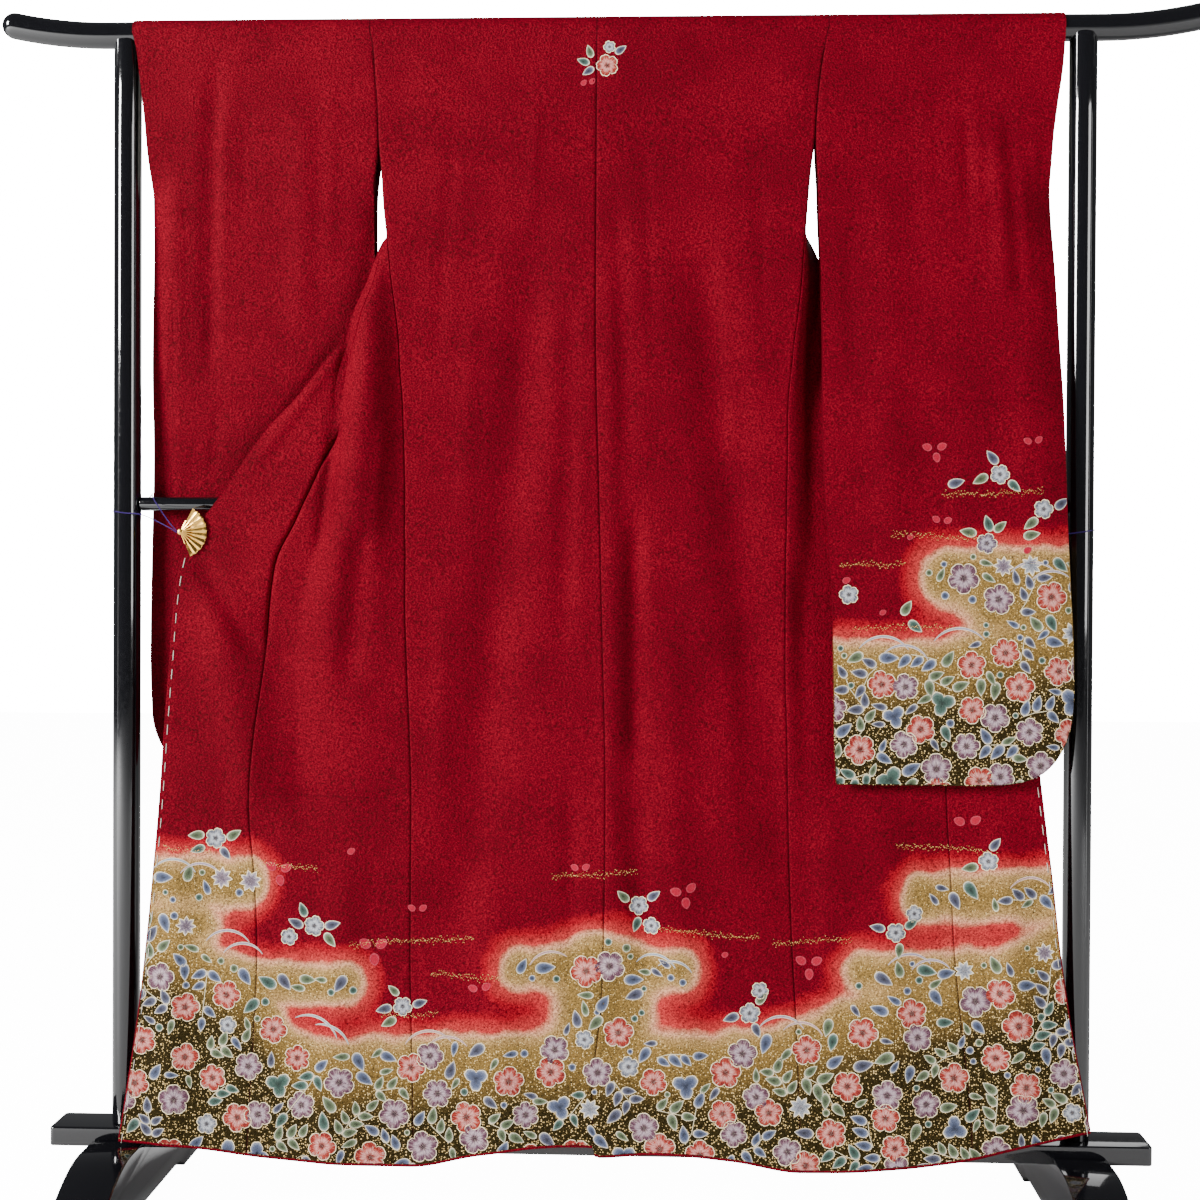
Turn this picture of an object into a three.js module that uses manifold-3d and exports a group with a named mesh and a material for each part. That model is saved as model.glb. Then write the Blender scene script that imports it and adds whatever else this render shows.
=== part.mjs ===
// A furisode kimono hung on its kimono stand, back to the viewer, with both fronts swung out
// beside the back. Millimetres, +Z up, +X to the viewer's right, the viewer stands on -Y.
// The origin lies on the floor, half way between the stand's posts.
import * as THREE from "three";
import { mergeVertices } from "three/addons/utils/BufferGeometryUtils.js";
import Module from "manifold-3d";

const wasm = await Module();
wasm.setup();

// ---- driving dimensions ----

// the stand
const POST_X = 679.5; // post axes, left and right of the middle
const POST_R = 19.5;
const RAIL_Z = 1688; // axis of the top rail between the posts
const RAIL_R = 18.5;
const RAIL_HALF = 862; // middle to the tip of the rail
const RAIL_RISE = 19; // how far the rail's ends sweep up
const RAIL_SWEEP_START = 705; // where the sweep begins
const MID_RAIL_Z = 1015;
const MID_RAIL_R = 10;
const BOARD = { half: 780, depth: 70, bottom: 95, top: 122, corner: 6 };
const FOOT = {
  width: 75,
  half: 262, // middle to toe
  hump: 104, // height beside the board
  shoulder: 105, // where the hump starts to slope down
  toe: 36, // height of the toe's end
  padStart: 172, // the toe rests on the floor from here out
  arch: 15, // height of the hollow under the foot
};

// the cloth
const WALL = 1.6;
const SEAM_GAP = 0.3;
const COLLAR_WALL = 3; // folded double
const COLLAR_WIDTH = 55;
const NECK_HALF = 85; // middle of the back to the neck point
const HAND_OPENING = 230; // from the sleeve's top down to where its outer seam starts
const SLEEVE_BOTTOM_SOFT = 30; // the two sleeve layers close over this length

// how finely the cloth is drawn
const BACK_COLUMNS = 14;
const NECK_COLUMNS = 4; // columns of the back that end at the neck
const OKUMI_COLUMNS = 5;
const SLEEVE_COLUMNS = 8;
const COLLAR_COLUMNS = 3;
const WRAP_STEPS = 8;
// radius of the cloth's middle over the rail, so that its flats stay clear of it
const RAIL_WRAP = (RAIL_R + SEAM_GAP + WALL / 2) / Math.cos(Math.PI / 2 / WRAP_STEPS);

// heights of the rows of the body, from the hem up to the rail
const SKIRT_ROWS = [
  118, 190, 290, 390, 490, 590, 690, 790, 886, 944, 980, 1024, 1068, 1121, 1165, 1208, 1247,
  1290, 1330, 1345, 1360, 1374, 1388,
];
const SHOULDER_ROWS = [1412, 1440, 1486, 1527, 1575, 1625, 1664, RAIL_Z];
const HEM_ROW = SKIRT_ROWS[0];
const HEM_SETTLE = 290; // rows below this bend to follow the hem's line

// The back. One row a height: x of the centre seam, and y of the panels.
const BACK_TABLE = [
  { z: 118, centre: 0, y: -50 },
  { z: 190, centre: -2, y: -49 },
  { z: 311, centre: 10, y: -47 },
  { z: 418, centre: 13, y: -46 },
  { z: 599, centre: 14, y: -43 },
  { z: 838, centre: 8, y: -37 },
  { z: 1054, centre: 2, y: -32 },
  { z: 1222, centre: -3, y: -28 },
  { z: 1400, centre: -4, y: -25 },
  { z: 1543, centre: -4, y: -22 },
  { z: RAIL_Z, centre: -4, y: -RAIL_WRAP },
];

// The fronts. One row a height, all widths measured outward from the middle:
// side seam, okumi seam as a share of the width in from the free edge, free edge or collar line,
// y at the side seam and at the free edge, the pleat's ridge and depth beside the side seam,
// and the depth of the loop that hangs behind the shoulder.
const LEFT_FRONT = [
  { z: 118, side: 254, okumi: 0.436, edge: 674, ySide: -50, yEdge: -52, ridge: 400, pleat: 0, loop: 0 },
  { z: 190, side: 255, okumi: 0.43, edge: 662, ySide: -49, yEdge: -51, ridge: 400, pleat: 0, loop: 0 },
  { z: 290, side: 258, okumi: 0.427, edge: 647, ySide: -47, yEdge: -49, ridge: 400, pleat: 0, loop: 0 },
  { z: 390, side: 260, okumi: 0.42, edge: 636, ySide: -46, yEdge: -47, ridge: 405, pleat: 0, loop: 0 },
  { z: 490, side: 260, okumi: 0.392, edge: 627, ySide: -45, yEdge: -45, ridge: 412, pleat: 1, loop: 0 },
  { z: 590, side: 260, okumi: 0.357, edge: 619, ySide: -43, yEdge: -43, ridge: 420, pleat: 3, loop: 0 },
  { z: 690, side: 263, okumi: 0.369, edge: 613, ySide: -41, yEdge: -40, ridge: 426, pleat: 6, loop: 0 },
  { z: 790, side: 268, okumi: 0.397, edge: 606, ySide: -38, yEdge: -37, ridge: 426, pleat: 11, loop: 0 },
  { z: 886, side: 271, okumi: 0.412, edge: 599, ySide: -36, yEdge: -34, ridge: 416, pleat: 18, loop: 0 },
  { z: 944, side: 271, okumi: 0.426, edge: 588, ySide: -34, yEdge: -32, ridge: 400, pleat: 23, loop: 0 },
  { z: 980, side: 272, okumi: 0.456, edge: 570, ySide: -34, yEdge: -31, ridge: 388, pleat: 25, loop: 0 },
  { z: 1024, side: 272, okumi: 0.464, edge: 537, ySide: -33, yEdge: -29, ridge: 382, pleat: 27, loop: 0 },
  { z: 1068, side: 273, okumi: 0.489, edge: 508, ySide: -32, yEdge: -27, ridge: 376, pleat: 28, loop: 0 },
  { z: 1121, side: 275, okumi: 0.528, edge: 470, ySide: -31, yEdge: -26, ridge: 369, pleat: 28, loop: 0 },
  { z: 1165, side: 277, okumi: 0.444, edge: 428, ySide: -30, yEdge: -25, ridge: 362, pleat: 27, loop: 0 },
  { z: 1208, side: 281, okumi: 0.363, edge: 394, ySide: -29, yEdge: -24, ridge: 356, pleat: 24, loop: 0 },
  { z: 1247, side: 283, okumi: 0.244, edge: 365, ySide: -28, yEdge: -23, ridge: 351, pleat: 20, loop: 0 },
  { z: 1290, side: 288, okumi: 0.25, edge: 348, ySide: -28, yEdge: -22, ridge: 346, pleat: 14, loop: 0 },
  { z: 1330, side: 294, okumi: 0.31, edge: 329, ySide: -27, yEdge: -20, ridge: 329, pleat: 8, loop: 0 },
  { z: 1360, side: 297, okumi: 0.3, edge: 319, ySide: -26, yEdge: -15, ridge: 319, pleat: 3, loop: 0 },
  { z: 1388, side: 300, okumi: 0.25, edge: 309, ySide: -25, yEdge: -7, ridge: 309, pleat: 0, loop: 0 },
  { z: 1412, side: 303, okumi: 0, edge: 291, ySide: -15, yEdge: 0, ridge: 300, pleat: 0, loop: 8 },
  { z: 1440, side: 306, okumi: 0, edge: 270, ySide: -4, yEdge: 4, ridge: 300, pleat: 0, loop: 26 },
  { z: 1486, side: 309, okumi: 0, edge: 236, ySide: 11, yEdge: 8, ridge: 300, pleat: 0, loop: 44 },
  { z: 1527, side: 313, okumi: 0, edge: 206, ySide: 21, yEdge: 11, ridge: 300, pleat: 0, loop: 46 },
  { z: 1575, side: 315, okumi: 0, edge: 169, ySide: 21, yEdge: 15, ridge: 300, pleat: 0, loop: 36 },
  { z: 1625, side: 319, okumi: 0, edge: 132, ySide: 21, yEdge: 18, ridge: 300, pleat: 0, loop: 18 },
  { z: 1664, side: 322, okumi: 0, edge: 103, ySide: 20, yEdge: 20, ridge: 300, pleat: 0, loop: 5 },
  { z: RAIL_Z, side: 327, okumi: 0, edge: NECK_HALF, ySide: RAIL_WRAP, yEdge: RAIL_WRAP, ridge: 300, pleat: 0, loop: 0 },
];
const RIGHT_FRONT = [
  { z: 118, side: 291, okumi: 0.406, edge: 690, ySide: -50, yEdge: -50, ridge: 400, pleat: 0, loop: 0 },
  { z: 190, side: 288, okumi: 0.396, edge: 679, ySide: -49, yEdge: -49, ridge: 400, pleat: 0, loop: 0 },
  { z: 290, side: 283, okumi: 0.397, edge: 663, ySide: -47, yEdge: -47, ridge: 400, pleat: 0, loop: 0 },
  { z: 390, side: 277, okumi: 0.393, edge: 648, ySide: -46, yEdge: -45, ridge: 400, pleat: 0, loop: 0 },
  { z: 490, side: 273, okumi: 0.385, edge: 637, ySide: -45, yEdge: -42, ridge: 400, pleat: 0, loop: 0 },
  { z: 590, side: 270, okumi: 0.377, edge: 625, ySide: -43, yEdge: -38, ridge: 400, pleat: 0, loop: 0 },
  { z: 690, side: 268, okumi: 0.367, edge: 614, ySide: -41, yEdge: -32, ridge: 400, pleat: 0, loop: 0 },
  { z: 790, side: 265, okumi: 0.375, edge: 606, ySide: -38, yEdge: -27, ridge: 400, pleat: 0, loop: 0 },
  { z: 886, side: 265, okumi: 0.4, edge: 600, ySide: -36, yEdge: -22, ridge: 400, pleat: 0, loop: 0 },
  { z: 944, side: 265, okumi: 0.421, edge: 590, ySide: -34, yEdge: -20, ridge: 400, pleat: 0, loop: 0 },
  { z: 980, side: 266, okumi: 0.447, edge: 570, ySide: -34, yEdge: -18.5, ridge: 400, pleat: 0, loop: 0 },
  { z: 1024, side: 266, okumi: 0.461, edge: 537, ySide: -33, yEdge: -17, ridge: 400, pleat: 0, loop: 0 },
  { z: 1068, side: 267, okumi: 0.48, edge: 508, ySide: -32, yEdge: -15, ridge: 400, pleat: 0, loop: 0 },
  { z: 1121, side: 267, okumi: 0.5, edge: 470, ySide: -31, yEdge: -12, ridge: 400, pleat: 0, loop: 0 },
  { z: 1165, side: 268, okumi: 0.419, edge: 428, ySide: -30, yEdge: -8, ridge: 400, pleat: 0, loop: 0 },
  { z: 1208, side: 272, okumi: 0.35, edge: 394, ySide: -29, yEdge: -3, ridge: 400, pleat: 0, loop: 0 },
  { z: 1247, side: 276, okumi: 0.25, edge: 364, ySide: -28, yEdge: 0, ridge: 400, pleat: 0, loop: 0 },
  { z: 1290, side: 282, okumi: 0.27, edge: 346, ySide: -28, yEdge: 4, ridge: 400, pleat: 0, loop: 0 },
  { z: 1330, side: 286, okumi: 0.2, edge: 326, ySide: -27, yEdge: 8, ridge: 400, pleat: 0, loop: 0 },
  { z: 1360, side: 288, okumi: 0.16, edge: 313, ySide: -26, yEdge: 11, ridge: 400, pleat: 0, loop: 0 },
  { z: 1388, side: 290, okumi: 0.12, edge: 300, ySide: -25, yEdge: 14, ridge: 400, pleat: 0, loop: 0 },
  { z: 1412, side: 292, okumi: 0, edge: 285, ySide: -15, yEdge: 16, ridge: 400, pleat: 0, loop: 8 },
  { z: 1440, side: 294, okumi: 0, edge: 265, ySide: -4, yEdge: 17, ridge: 400, pleat: 0, loop: 24 },
  { z: 1486, side: 298, okumi: 0, edge: 234, ySide: 7, yEdge: 18, ridge: 400, pleat: 0, loop: 36 },
  { z: 1527, side: 303, okumi: 0, edge: 206, ySide: 12.5, yEdge: 19, ridge: 400, pleat: 0, loop: 38 },
  { z: 1575, side: 306, okumi: 0, edge: 169, ySide: 15.5, yEdge: 20, ridge: 400, pleat: 0, loop: 30 },
  { z: 1625, side: 311, okumi: 0, edge: 132, ySide: 18, yEdge: 20, ridge: 400, pleat: 0, loop: 16 },
  { z: 1664, side: 317, okumi: 0, edge: 103, ySide: 19.2, yEdge: 20, ridge: 400, pleat: 0, loop: 5 },
  { z: RAIL_Z, side: 322, okumi: 0, edge: NECK_HALF, ySide: RAIL_WRAP, yEdge: RAIL_WRAP, ridge: 400, pleat: 0, loop: 0 },
];
const SHELF = 30; // width over which the right front drops back behind its sleeve

// The hem, seen from the viewer's side: x, and the height of the cloth's lower edge.
const HEM_LINE = [
  { x: -676, z: 110 },
  { x: -560, z: 101 },
  { x: -443, z: 88 },
  { x: -340, z: 82 },
  { x: -260, z: 81 },
  { x: -165, z: 98 },
  { x: -92, z: 109 },
  { x: -13, z: 113 },
  { x: -2, z: 113 },
  { x: 3, z: 99 },
  { x: 87, z: 104 },
  { x: 194, z: 97 },
  { x: 290, z: 83 },
  { x: 379, z: 86 },
  { x: 516, z: 103 },
  { x: 608, z: 126 },
  { x: 690, z: 146 },
];

// Long soft folds of the hanging cloth: from (x, top) to (lowX, low), half width, depth to the viewer.
const FOLDS = [
  { x: -78, top: 1475, lowX: -196, low: 330, half: 36, depth: -10 },
  { x: -38, top: 1370, lowX: -46, low: 760, half: 17, depth: -4 },
  { x: 53, top: 1030, lowX: 56, low: 610, half: 15, depth: -10 },
  { x: 128, top: 1470, lowX: 292, low: 330, half: 36, depth: -10 },
  { x: 16, top: 1500, lowX: 24, low: 240, half: 13, depth: 3 },
  { x: -34, top: 640, lowX: -32, low: 240, half: 15, depth: -4 },
  { x: 98, top: 900, lowX: 130, low: 170, half: 26, depth: 6 },
  { x: -150, top: 520, lowX: -120, low: 60, half: 30, depth: 5 },
  { x: -571, top: 944, lowX: -480, low: 790, half: 16, depth: -9 },
  { x: -560, top: 900, lowX: -492, low: 600, half: 20, depth: 7 },
  { x: -330, top: 1000, lowX: -352, low: 740, half: 18, depth: -7 },
  { x: -350, top: 560, lowX: -372, low: 60, half: 30, depth: 6 },
  { x: -590, top: 560, lowX: -608, low: 60, half: 22, depth: 5 },
  { x: 560, top: 640, lowX: 600, low: 90, half: 26, depth: 6 },
  { x: 400, top: 640, lowX: 430, low: 90, half: 30, depth: 5 },
  { x: 52, top: 640, lowX: 76, low: 330, half: 18, depth: -6 },
  { x: 20, top: 1480, lowX: 46, low: 1050, half: 14, depth: -3 },
  { x: 288, top: 1300, lowX: 286, low: 880, half: 13, depth: 6 },
];

// The sleeves. One row a height, measured outward: inner and outer edge, and y of both layers.
const LEFT_SLEEVE = [
  { z: 625, inner: 322, outer: 540, front: 18, rear: 23 },
  { z: 629, inner: 322, outer: 578, front: 18, rear: 23 },
  { z: 638, inner: 322, outer: 606, front: 17.5, rear: 23.5 },
  { z: 655, inner: 322, outer: 627, front: 17, rear: 24 },
  { z: 677, inner: 322, outer: 640, front: 16.5, rear: 24.5 },
  { z: 701, inner: 322, outer: 647, front: 16, rear: 25 },
  { z: 728, inner: 322, outer: 649, front: 15.5, rear: 25.5 },
  { z: 800, inner: 322, outer: 651, front: 15, rear: 26 },
  { z: 900, inner: 322, outer: 650, front: 15, rear: 27 },
  { z: 1000, inner: 322, outer: 648, front: 15, rear: 27 },
  { z: 1040, inner: 322, outer: 647, front: 14.5, rear: 27 },
  { z: 1100, inner: 322, outer: 646, front: 11, rear: 26 },
  { z: 1200, inner: 322, outer: 647, front: 5, rear: 25 },
  { z: 1300, inner: 322, outer: 645, front: -1, rear: 24 },
  { z: 1400, inner: 322.5, outer: 643, front: -6, rear: 23 },
  { z: 1458, inner: 321, outer: 643, front: -12, rear: 22 },
  { z: 1527, inner: 314, outer: 647, front: -19, rear: 21 },
  { z: 1575, inner: 315, outer: 651, front: -21, rear: 21 },
  { z: 1625, inner: 319, outer: 657, front: -20.6, rear: 21 },
  { z: 1664, inner: 322, outer: 662, front: -20, rear: 20 },
  { z: RAIL_Z, inner: 327, outer: 668, front: -RAIL_WRAP, rear: RAIL_WRAP },
];
const RIGHT_SLEEVE = [
  { z: 626, inner: 336, outer: 552, front: -56, rear: -48 },
  { z: 631, inner: 335.5, outer: 588, front: -56, rear: -48 },
  { z: 640, inner: 335, outer: 614, front: -55.5, rear: -47.5 },
  { z: 656, inner: 334, outer: 634, front: -55, rear: -47 },
  { z: 677, inner: 333, outer: 648, front: -54.5, rear: -46 },
  { z: 701, inner: 332, outer: 657, front: -54, rear: -45 },
  { z: 728, inner: 332, outer: 662, front: -53, rear: -44 },
  { z: 790, inner: 331.5, outer: 663, front: -51, rear: -40 },
  { z: 890, inner: 329, outer: 659, front: -48, rear: -36 },
  { z: 980, inner: 323, outer: 655, front: -45, rear: -31 },
  { z: 1050, inner: 318, outer: 653, front: -43, rear: -27 },
  { z: 1160, inner: 315, outer: 649, front: -40, rear: -21 },
  { z: 1250, inner: 314.5, outer: 643, front: -37, rear: -16 },
  { z: 1350, inner: 311, outer: 637, front: -34, rear: -8 },
  { z: 1420, inner: 308, outer: 632, front: -31, rear: 0 },
  { z: 1458, inner: 307, outer: 631, front: -29, rear: 4 },
  { z: 1527, inner: 304, outer: 634, front: -24, rear: 12.5 },
  { z: 1575, inner: 306, outer: 640, front: -21.6, rear: 15.5 },
  { z: 1625, inner: 311, outer: 647, front: -20.8, rear: 18 },
  { z: 1664, inner: 317, outer: 650, front: -20, rear: 19.2 },
  { z: RAIL_Z, inner: 322, outer: 651, front: -RAIL_WRAP, rear: RAIL_WRAP },
];
const LEFT_SLEEVE_FOLDS = [
  { x: -560, top: 1540, lowX: -577, low: 1190, half: 14, depth: -6 },
  { x: -420, top: 1600, lowX: -430, low: 1240, half: 20, depth: 4 },
  { x: -612, top: 1480, lowX: -620, low: 1180, half: 16, depth: 4 },
];
const RIGHT_SLEEVE_FOLDS = [
  { x: 552, top: 1560, lowX: 566, low: 1280, half: 14, depth: 5 },
  { x: 514, top: 1580, lowX: 517, low: 1420, half: 9, depth: -4 },
  { x: 610, top: 1500, lowX: 622, low: 1300, half: 12, depth: -4 },
  { x: 400, top: 1500, lowX: 410, low: 900, half: 26, depth: 4 },
];

// the gold folding-fan clips at the two ends of the collar, and their threads round the posts
const CLIP = {
  x: 592, // pivot knob, outward from the middle
  z: 974,
  fanRadius: 38,
  knobRadius: 4.5,
  plate: 1.6,
  jawLength: 17,
  jawHalf: 6,
  ribs: 9,
  pleat: 1.4, // height of the fan's ribs
  fanFrom: -68, // degrees, measured up from straight inward
  fanTo: 62,
};
const THREAD_R = 0.6;
const THREAD_SIDES = 8;

// ---- materials ----

function finish(colour, roughness, metalness) {
  return new THREE.MeshStandardMaterial({ color: colour, roughness, metalness, side: THREE.DoubleSide });
}

const crepe = finish(0xa8101f, 0.8, 0);
const crepeShade = finish(0x9c0e1c, 0.8, 0);
const lacquer = finish(0x0b0c10, 0.15, 0);
const gold = finish(0xc79a3c, 0.35, 1);
const purpleThread = finish(0x4a2f8f, 0.6, 0);

// ---- small sums ----

function smooth(t) {
  const c = Math.min(1, Math.max(0, t));
  return c * c * (3 - 2 * c);
}

function mix(a, b, t) {
  return a + (b - a) * t;
}

// A table's column at a height (or x), on a smooth curve through its rows.
function readTable(rows, column, at, key = "z") {
  const last = rows.length - 1;
  let i = rows.findIndex((row) => row[key] >= at) - 1;
  if (i < 0) i = at <= rows[0][key] ? 0 : last - 1;
  const a = rows[i];
  const b = rows[i + 1];
  const t = Math.min(1, Math.max(0, (at - a[key]) / (b[key] - a[key])));
  const slope = (lo, hi) => (hi[column] - lo[column]) / (hi[key] - lo[key]);
  const here = slope(a, b);
  const before = i > 0 ? slope(rows[i - 1], a) : here;
  const after = i + 1 < last ? slope(b, rows[i + 2]) : here;
  const width = b[key] - a[key];
  const leave = before * here > 0 ? (before + here) / 2 : 0;
  const arrive = here * after > 0 ? (here + after) / 2 : 0;
  const t2 = t * t;
  const t3 = t2 * t;
  return (
    a[column] * (2 * t3 - 3 * t2 + 1) +
    leave * width * (t3 - 2 * t2 + t) +
    b[column] * (3 * t2 - 2 * t3) +
    arrive * width * (t3 - t2)
  );
}

// How far the folds move the cloth towards the viewer at a place.
function foldDepth(folds, x, z) {
  let depth = 0;
  for (const fold of folds) {
    const along = (fold.top - z) / (fold.top - fold.low);
    const fade = smooth(along / 0.2) * smooth((1 - along) / 0.2);
    const off = (x - mix(fold.x, fold.lowX, along)) / fold.half;
    depth += fold.depth * fade * Math.exp(-off * off);
  }
  return depth;
}

// The row height of a point near the hem, bent so that the last row follows the hem's line.
function onHem(x, z) {
  if (z >= HEM_SETTLE) return z;
  const share = (HEM_SETTLE - z) / (HEM_SETTLE - HEM_ROW);
  return z + (readTable(HEM_LINE, "z", x, "x") - HEM_ROW) * share;
}

// ---- cloth walls ----

// Mean surface direction at each point of a grid whose cells may be missing.
function gridNormals(points, hasCell) {
  const normals = points.map((row) => row.map(() => new THREE.Vector3()));
  const across = new THREE.Vector3();
  const along = new THREE.Vector3();
  for (let i = 0; i + 1 < points.length; i++) {
    for (let j = 0; j + 1 < points[i].length; j++) {
      if (!hasCell(i, j)) continue;
      across.subVectors(points[i + 1][j + 1], points[i][j]);
      along.subVectors(points[i + 1][j], points[i][j + 1]);
      across.cross(along).normalize();
      for (const [r, c] of [[i, j], [i, j + 1], [i + 1, j], [i + 1, j + 1]]) normals[r][c].add(across);
    }
  }
  normals.flat().forEach((n) => n.normalize());
  return normals;
}

// Pieces that share a seam share its surface direction, so their rims stand square to each other.
function matchSeams(sheets) {
  const sums = new Map();
  const keyOf = (p) => [p.x, p.y, p.z].map((v) => Math.round(v * 20)).join();
  for (const sheet of sheets) {
    sheet.points.forEach((row, i) =>
      row.forEach((p, j) => {
        const key = keyOf(p);
        const sum = sums.get(key) ?? new THREE.Vector3();
        const n = sheet.normals[i][j];
        sums.set(key, sum.addScaledVector(n, sum.dot(n) < 0 ? -1 : 1));
      }),
    );
  }
  for (const sheet of sheets) {
    sheet.points.forEach((row, i) =>
      row.forEach((p, j) => {
        const n = sheet.normals[i][j];
        const sum = sums.get(keyOf(p)).clone().normalize();
        n.copy(sum.multiplyScalar(sum.dot(n) < 0 ? -1 : 1));
      }),
    );
  }
}

// Draws a border point back from its seam by half the seam's gap, towards its neighbour inside.
function drawnBack(sheet, i, j) {
  const { points, insetLeft, insetRight } = sheet;
  const p = points[i][j].clone();
  const first = sheet.firstColumn(i);
  const last = points[i].length - 1;
  const inner = j === first && insetLeft ? j + 1 : j === last && insetRight ? j - 1 : j;
  if (inner === j) return p;
  const step = new THREE.Vector3().subVectors(points[i][inner], p);
  return p.addScaledVector(step.normalize(), SEAM_GAP / 2);
}

// A closed wall of the sheet's thickness round its grid of middle points.
function clothWall(sheet) {
  const { points, normals, hasCell, thickness } = sheet;
  const positions = [];
  const index = [];
  const front = points.map((row, i) => row.map((_, j) => side(i, j, thickness / 2)));
  const back = points.map((row, i) => row.map((_, j) => side(i, j, -thickness / 2)));
  function side(i, j, offset) {
    const p = drawnBack(sheet, i, j).addScaledVector(normals[i][j], offset);
    positions.push(p.x, p.y, p.z);
    return positions.length / 3 - 1;
  }
  function quad(a, b, c, d) {
    index.push(a, b, c, a, c, d);
  }
  function rim(a, b) {
    quad(front[b[0]][b[1]], front[a[0]][a[1]], back[a[0]][a[1]], back[b[0]][b[1]]);
  }
  const cell = (i, j) => i >= 0 && j >= 0 && i + 1 < points.length && j + 1 < points[0].length && hasCell(i, j);
  for (let i = 0; i + 1 < points.length; i++) {
    for (let j = 0; j + 1 < points[0].length; j++) {
      if (!hasCell(i, j)) continue;
      const corners = [[i, j], [i, j + 1], [i + 1, j + 1], [i + 1, j]];
      quad(...corners.map(([r, c]) => front[r][c]));
      quad(...corners.map(([r, c]) => back[r][c]).reverse());
      if (!cell(i - 1, j)) rim(corners[0], corners[1]);
      if (!cell(i, j + 1)) rim(corners[1], corners[2]);
      if (!cell(i + 1, j)) rim(corners[2], corners[3]);
      if (!cell(i, j - 1)) rim(corners[3], corners[0]);
    }
  }
  const geometry = new THREE.BufferGeometry();
  geometry.setAttribute("position", new THREE.Float32BufferAttribute(positions, 3));
  geometry.setIndex(index);
  return geometry.toNonIndexed();
}

// A sheet is a grid of middle points with what clothWall needs to know about it.
function makeSheet(name, points, options = {}) {
  const hasCell = options.hasCell ?? (() => true);
  return {
    name,
    points,
    hasCell,
    normals: gridNormals(points, hasCell),
    thickness: options.thickness ?? WALL,
    insetLeft: options.insetLeft ?? false,
    insetRight: options.insetRight ?? false,
    firstColumn: options.firstColumn ?? (() => 0),
    material: options.material ?? crepe,
  };
}

// ---- the body ----

// The two sides of the garment: their direction along X, and the tables of their front.
const SIDES = [
  { name: "left", sign: -1, front: LEFT_FRONT, sleeve: LEFT_SLEEVE, sleeveFolds: LEFT_SLEEVE_FOLDS },
  { name: "right", sign: 1, front: RIGHT_FRONT, sleeve: RIGHT_SLEEVE, sleeveFolds: RIGHT_SLEEVE_FOLDS },
];

// A point of the back panel: s runs from the centre seam (0) to the side seam (1).
function backPoint(side, z, s) {
  const sideX = side.sign * readTable(side.front, "side", z);
  const x = mix(readTable(BACK_TABLE, "centre", z), sideX, s);
  const toSide = smooth((s - 0.6) / 0.4);
  const sideY = Math.min(readTable(side.front, "ySide", z), readTable(BACK_TABLE, "y", z));
  const y = mix(readTable(BACK_TABLE, "y", z), z < 1400 ? readTable(side.front, "ySide", z) : sideY, toSide);
  return new THREE.Vector3(x, y - foldDepth(FOLDS, x, z), onHem(x, z));
}

// A point of the whole front: s runs from the side seam (0) to the free edge or collar line (1).
function frontPoint(side, z, s) {
  const at = (column) => readTable(side.front, column, z);
  const inner = at("side");
  const outer = at("edge");
  const out = mix(inner, outer, s);
  const x = side.sign * out;
  const reach = side.name === "right" ? smooth(s * Math.max(1, Math.abs(outer - inner) / SHELF)) : s;
  const ridgeShare = outer > inner ? (at("ridge") - inner) / (outer - inner) : 1;
  const overPleat = Math.min(1, s / Math.max(0.05, ridgeShare));
  const pleat = at("pleat") * Math.sin(Math.PI * overPleat ** 1.4);
  const loop = at("loop") * Math.sin(Math.PI * s);
  const hang = z < 1388 ? foldDepth(FOLDS, x, z) : 0;
  const y = mix(at("ySide"), at("yEdge"), reach) - pleat + loop - hang;
  return new THREE.Vector3(x, y, onHem(x, z));
}

// The long body cloth of one side: up the back from the hem, over the rail and down the front.
function bodySheet(side) {
  const backRows = [...SKIRT_ROWS, ...SHOULDER_ROWS];
  const frontRows = [...backRows].reverse();
  const columns = Array.from({ length: BACK_COLUMNS + 1 }, (_, j) => j);
  const neckShare = (NECK_HALF * side.sign - BACK_TABLE.at(-1).centre)
    / (side.sign * side.front.at(-1).side - BACK_TABLE.at(-1).centre);
  const backShare = (j) => j <= NECK_COLUMNS
    ? (neckShare * j) / NECK_COLUMNS
    : mix(neckShare, 1, (j - NECK_COLUMNS) / (BACK_COLUMNS - NECK_COLUMNS));
  const points = backRows.map((z) => columns.map((j) => backPoint(side, z, backShare(j))));
  for (let k = 1; k < WRAP_STEPS; k++) {
    const angle = (Math.PI * k) / WRAP_STEPS;
    points.push(columns.map((j) => overRail(backPoint(side, RAIL_Z, backShare(j)).x, angle)));
  }
  const shoulderRow = points.length;
  for (const z of frontRows) {
    const okumi = readTable(side.front, "okumi", z);
    const share = (j) => (1 - okumi) * (1 - (j - NECK_COLUMNS) / (BACK_COLUMNS - NECK_COLUMNS));
    points.push(columns.map((j) => (j < NECK_COLUMNS && z < RAIL_Z
      ? new THREE.Vector3()
      : z === RAIL_Z
        ? overRail(backPoint(side, RAIL_Z, backShare(j)).x, Math.PI)
        : frontPoint(side, z, share(j)))));
  }
  return makeSheet(`body_${side.name}`, points, {
    hasCell: (i, j) => i < shoulderRow || j >= NECK_COLUMNS,
    firstColumn: (i) => (i <= shoulderRow ? 0 : NECK_COLUMNS),
    insetLeft: true,
    insetRight: true,
  });
}

// Where the cloth lies on the rail: the angle runs from the viewer's side over the top.
function overRail(x, angle) {
  return new THREE.Vector3(x, -RAIL_WRAP * Math.cos(angle), RAIL_Z + RAIL_WRAP * Math.sin(angle));
}

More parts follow.
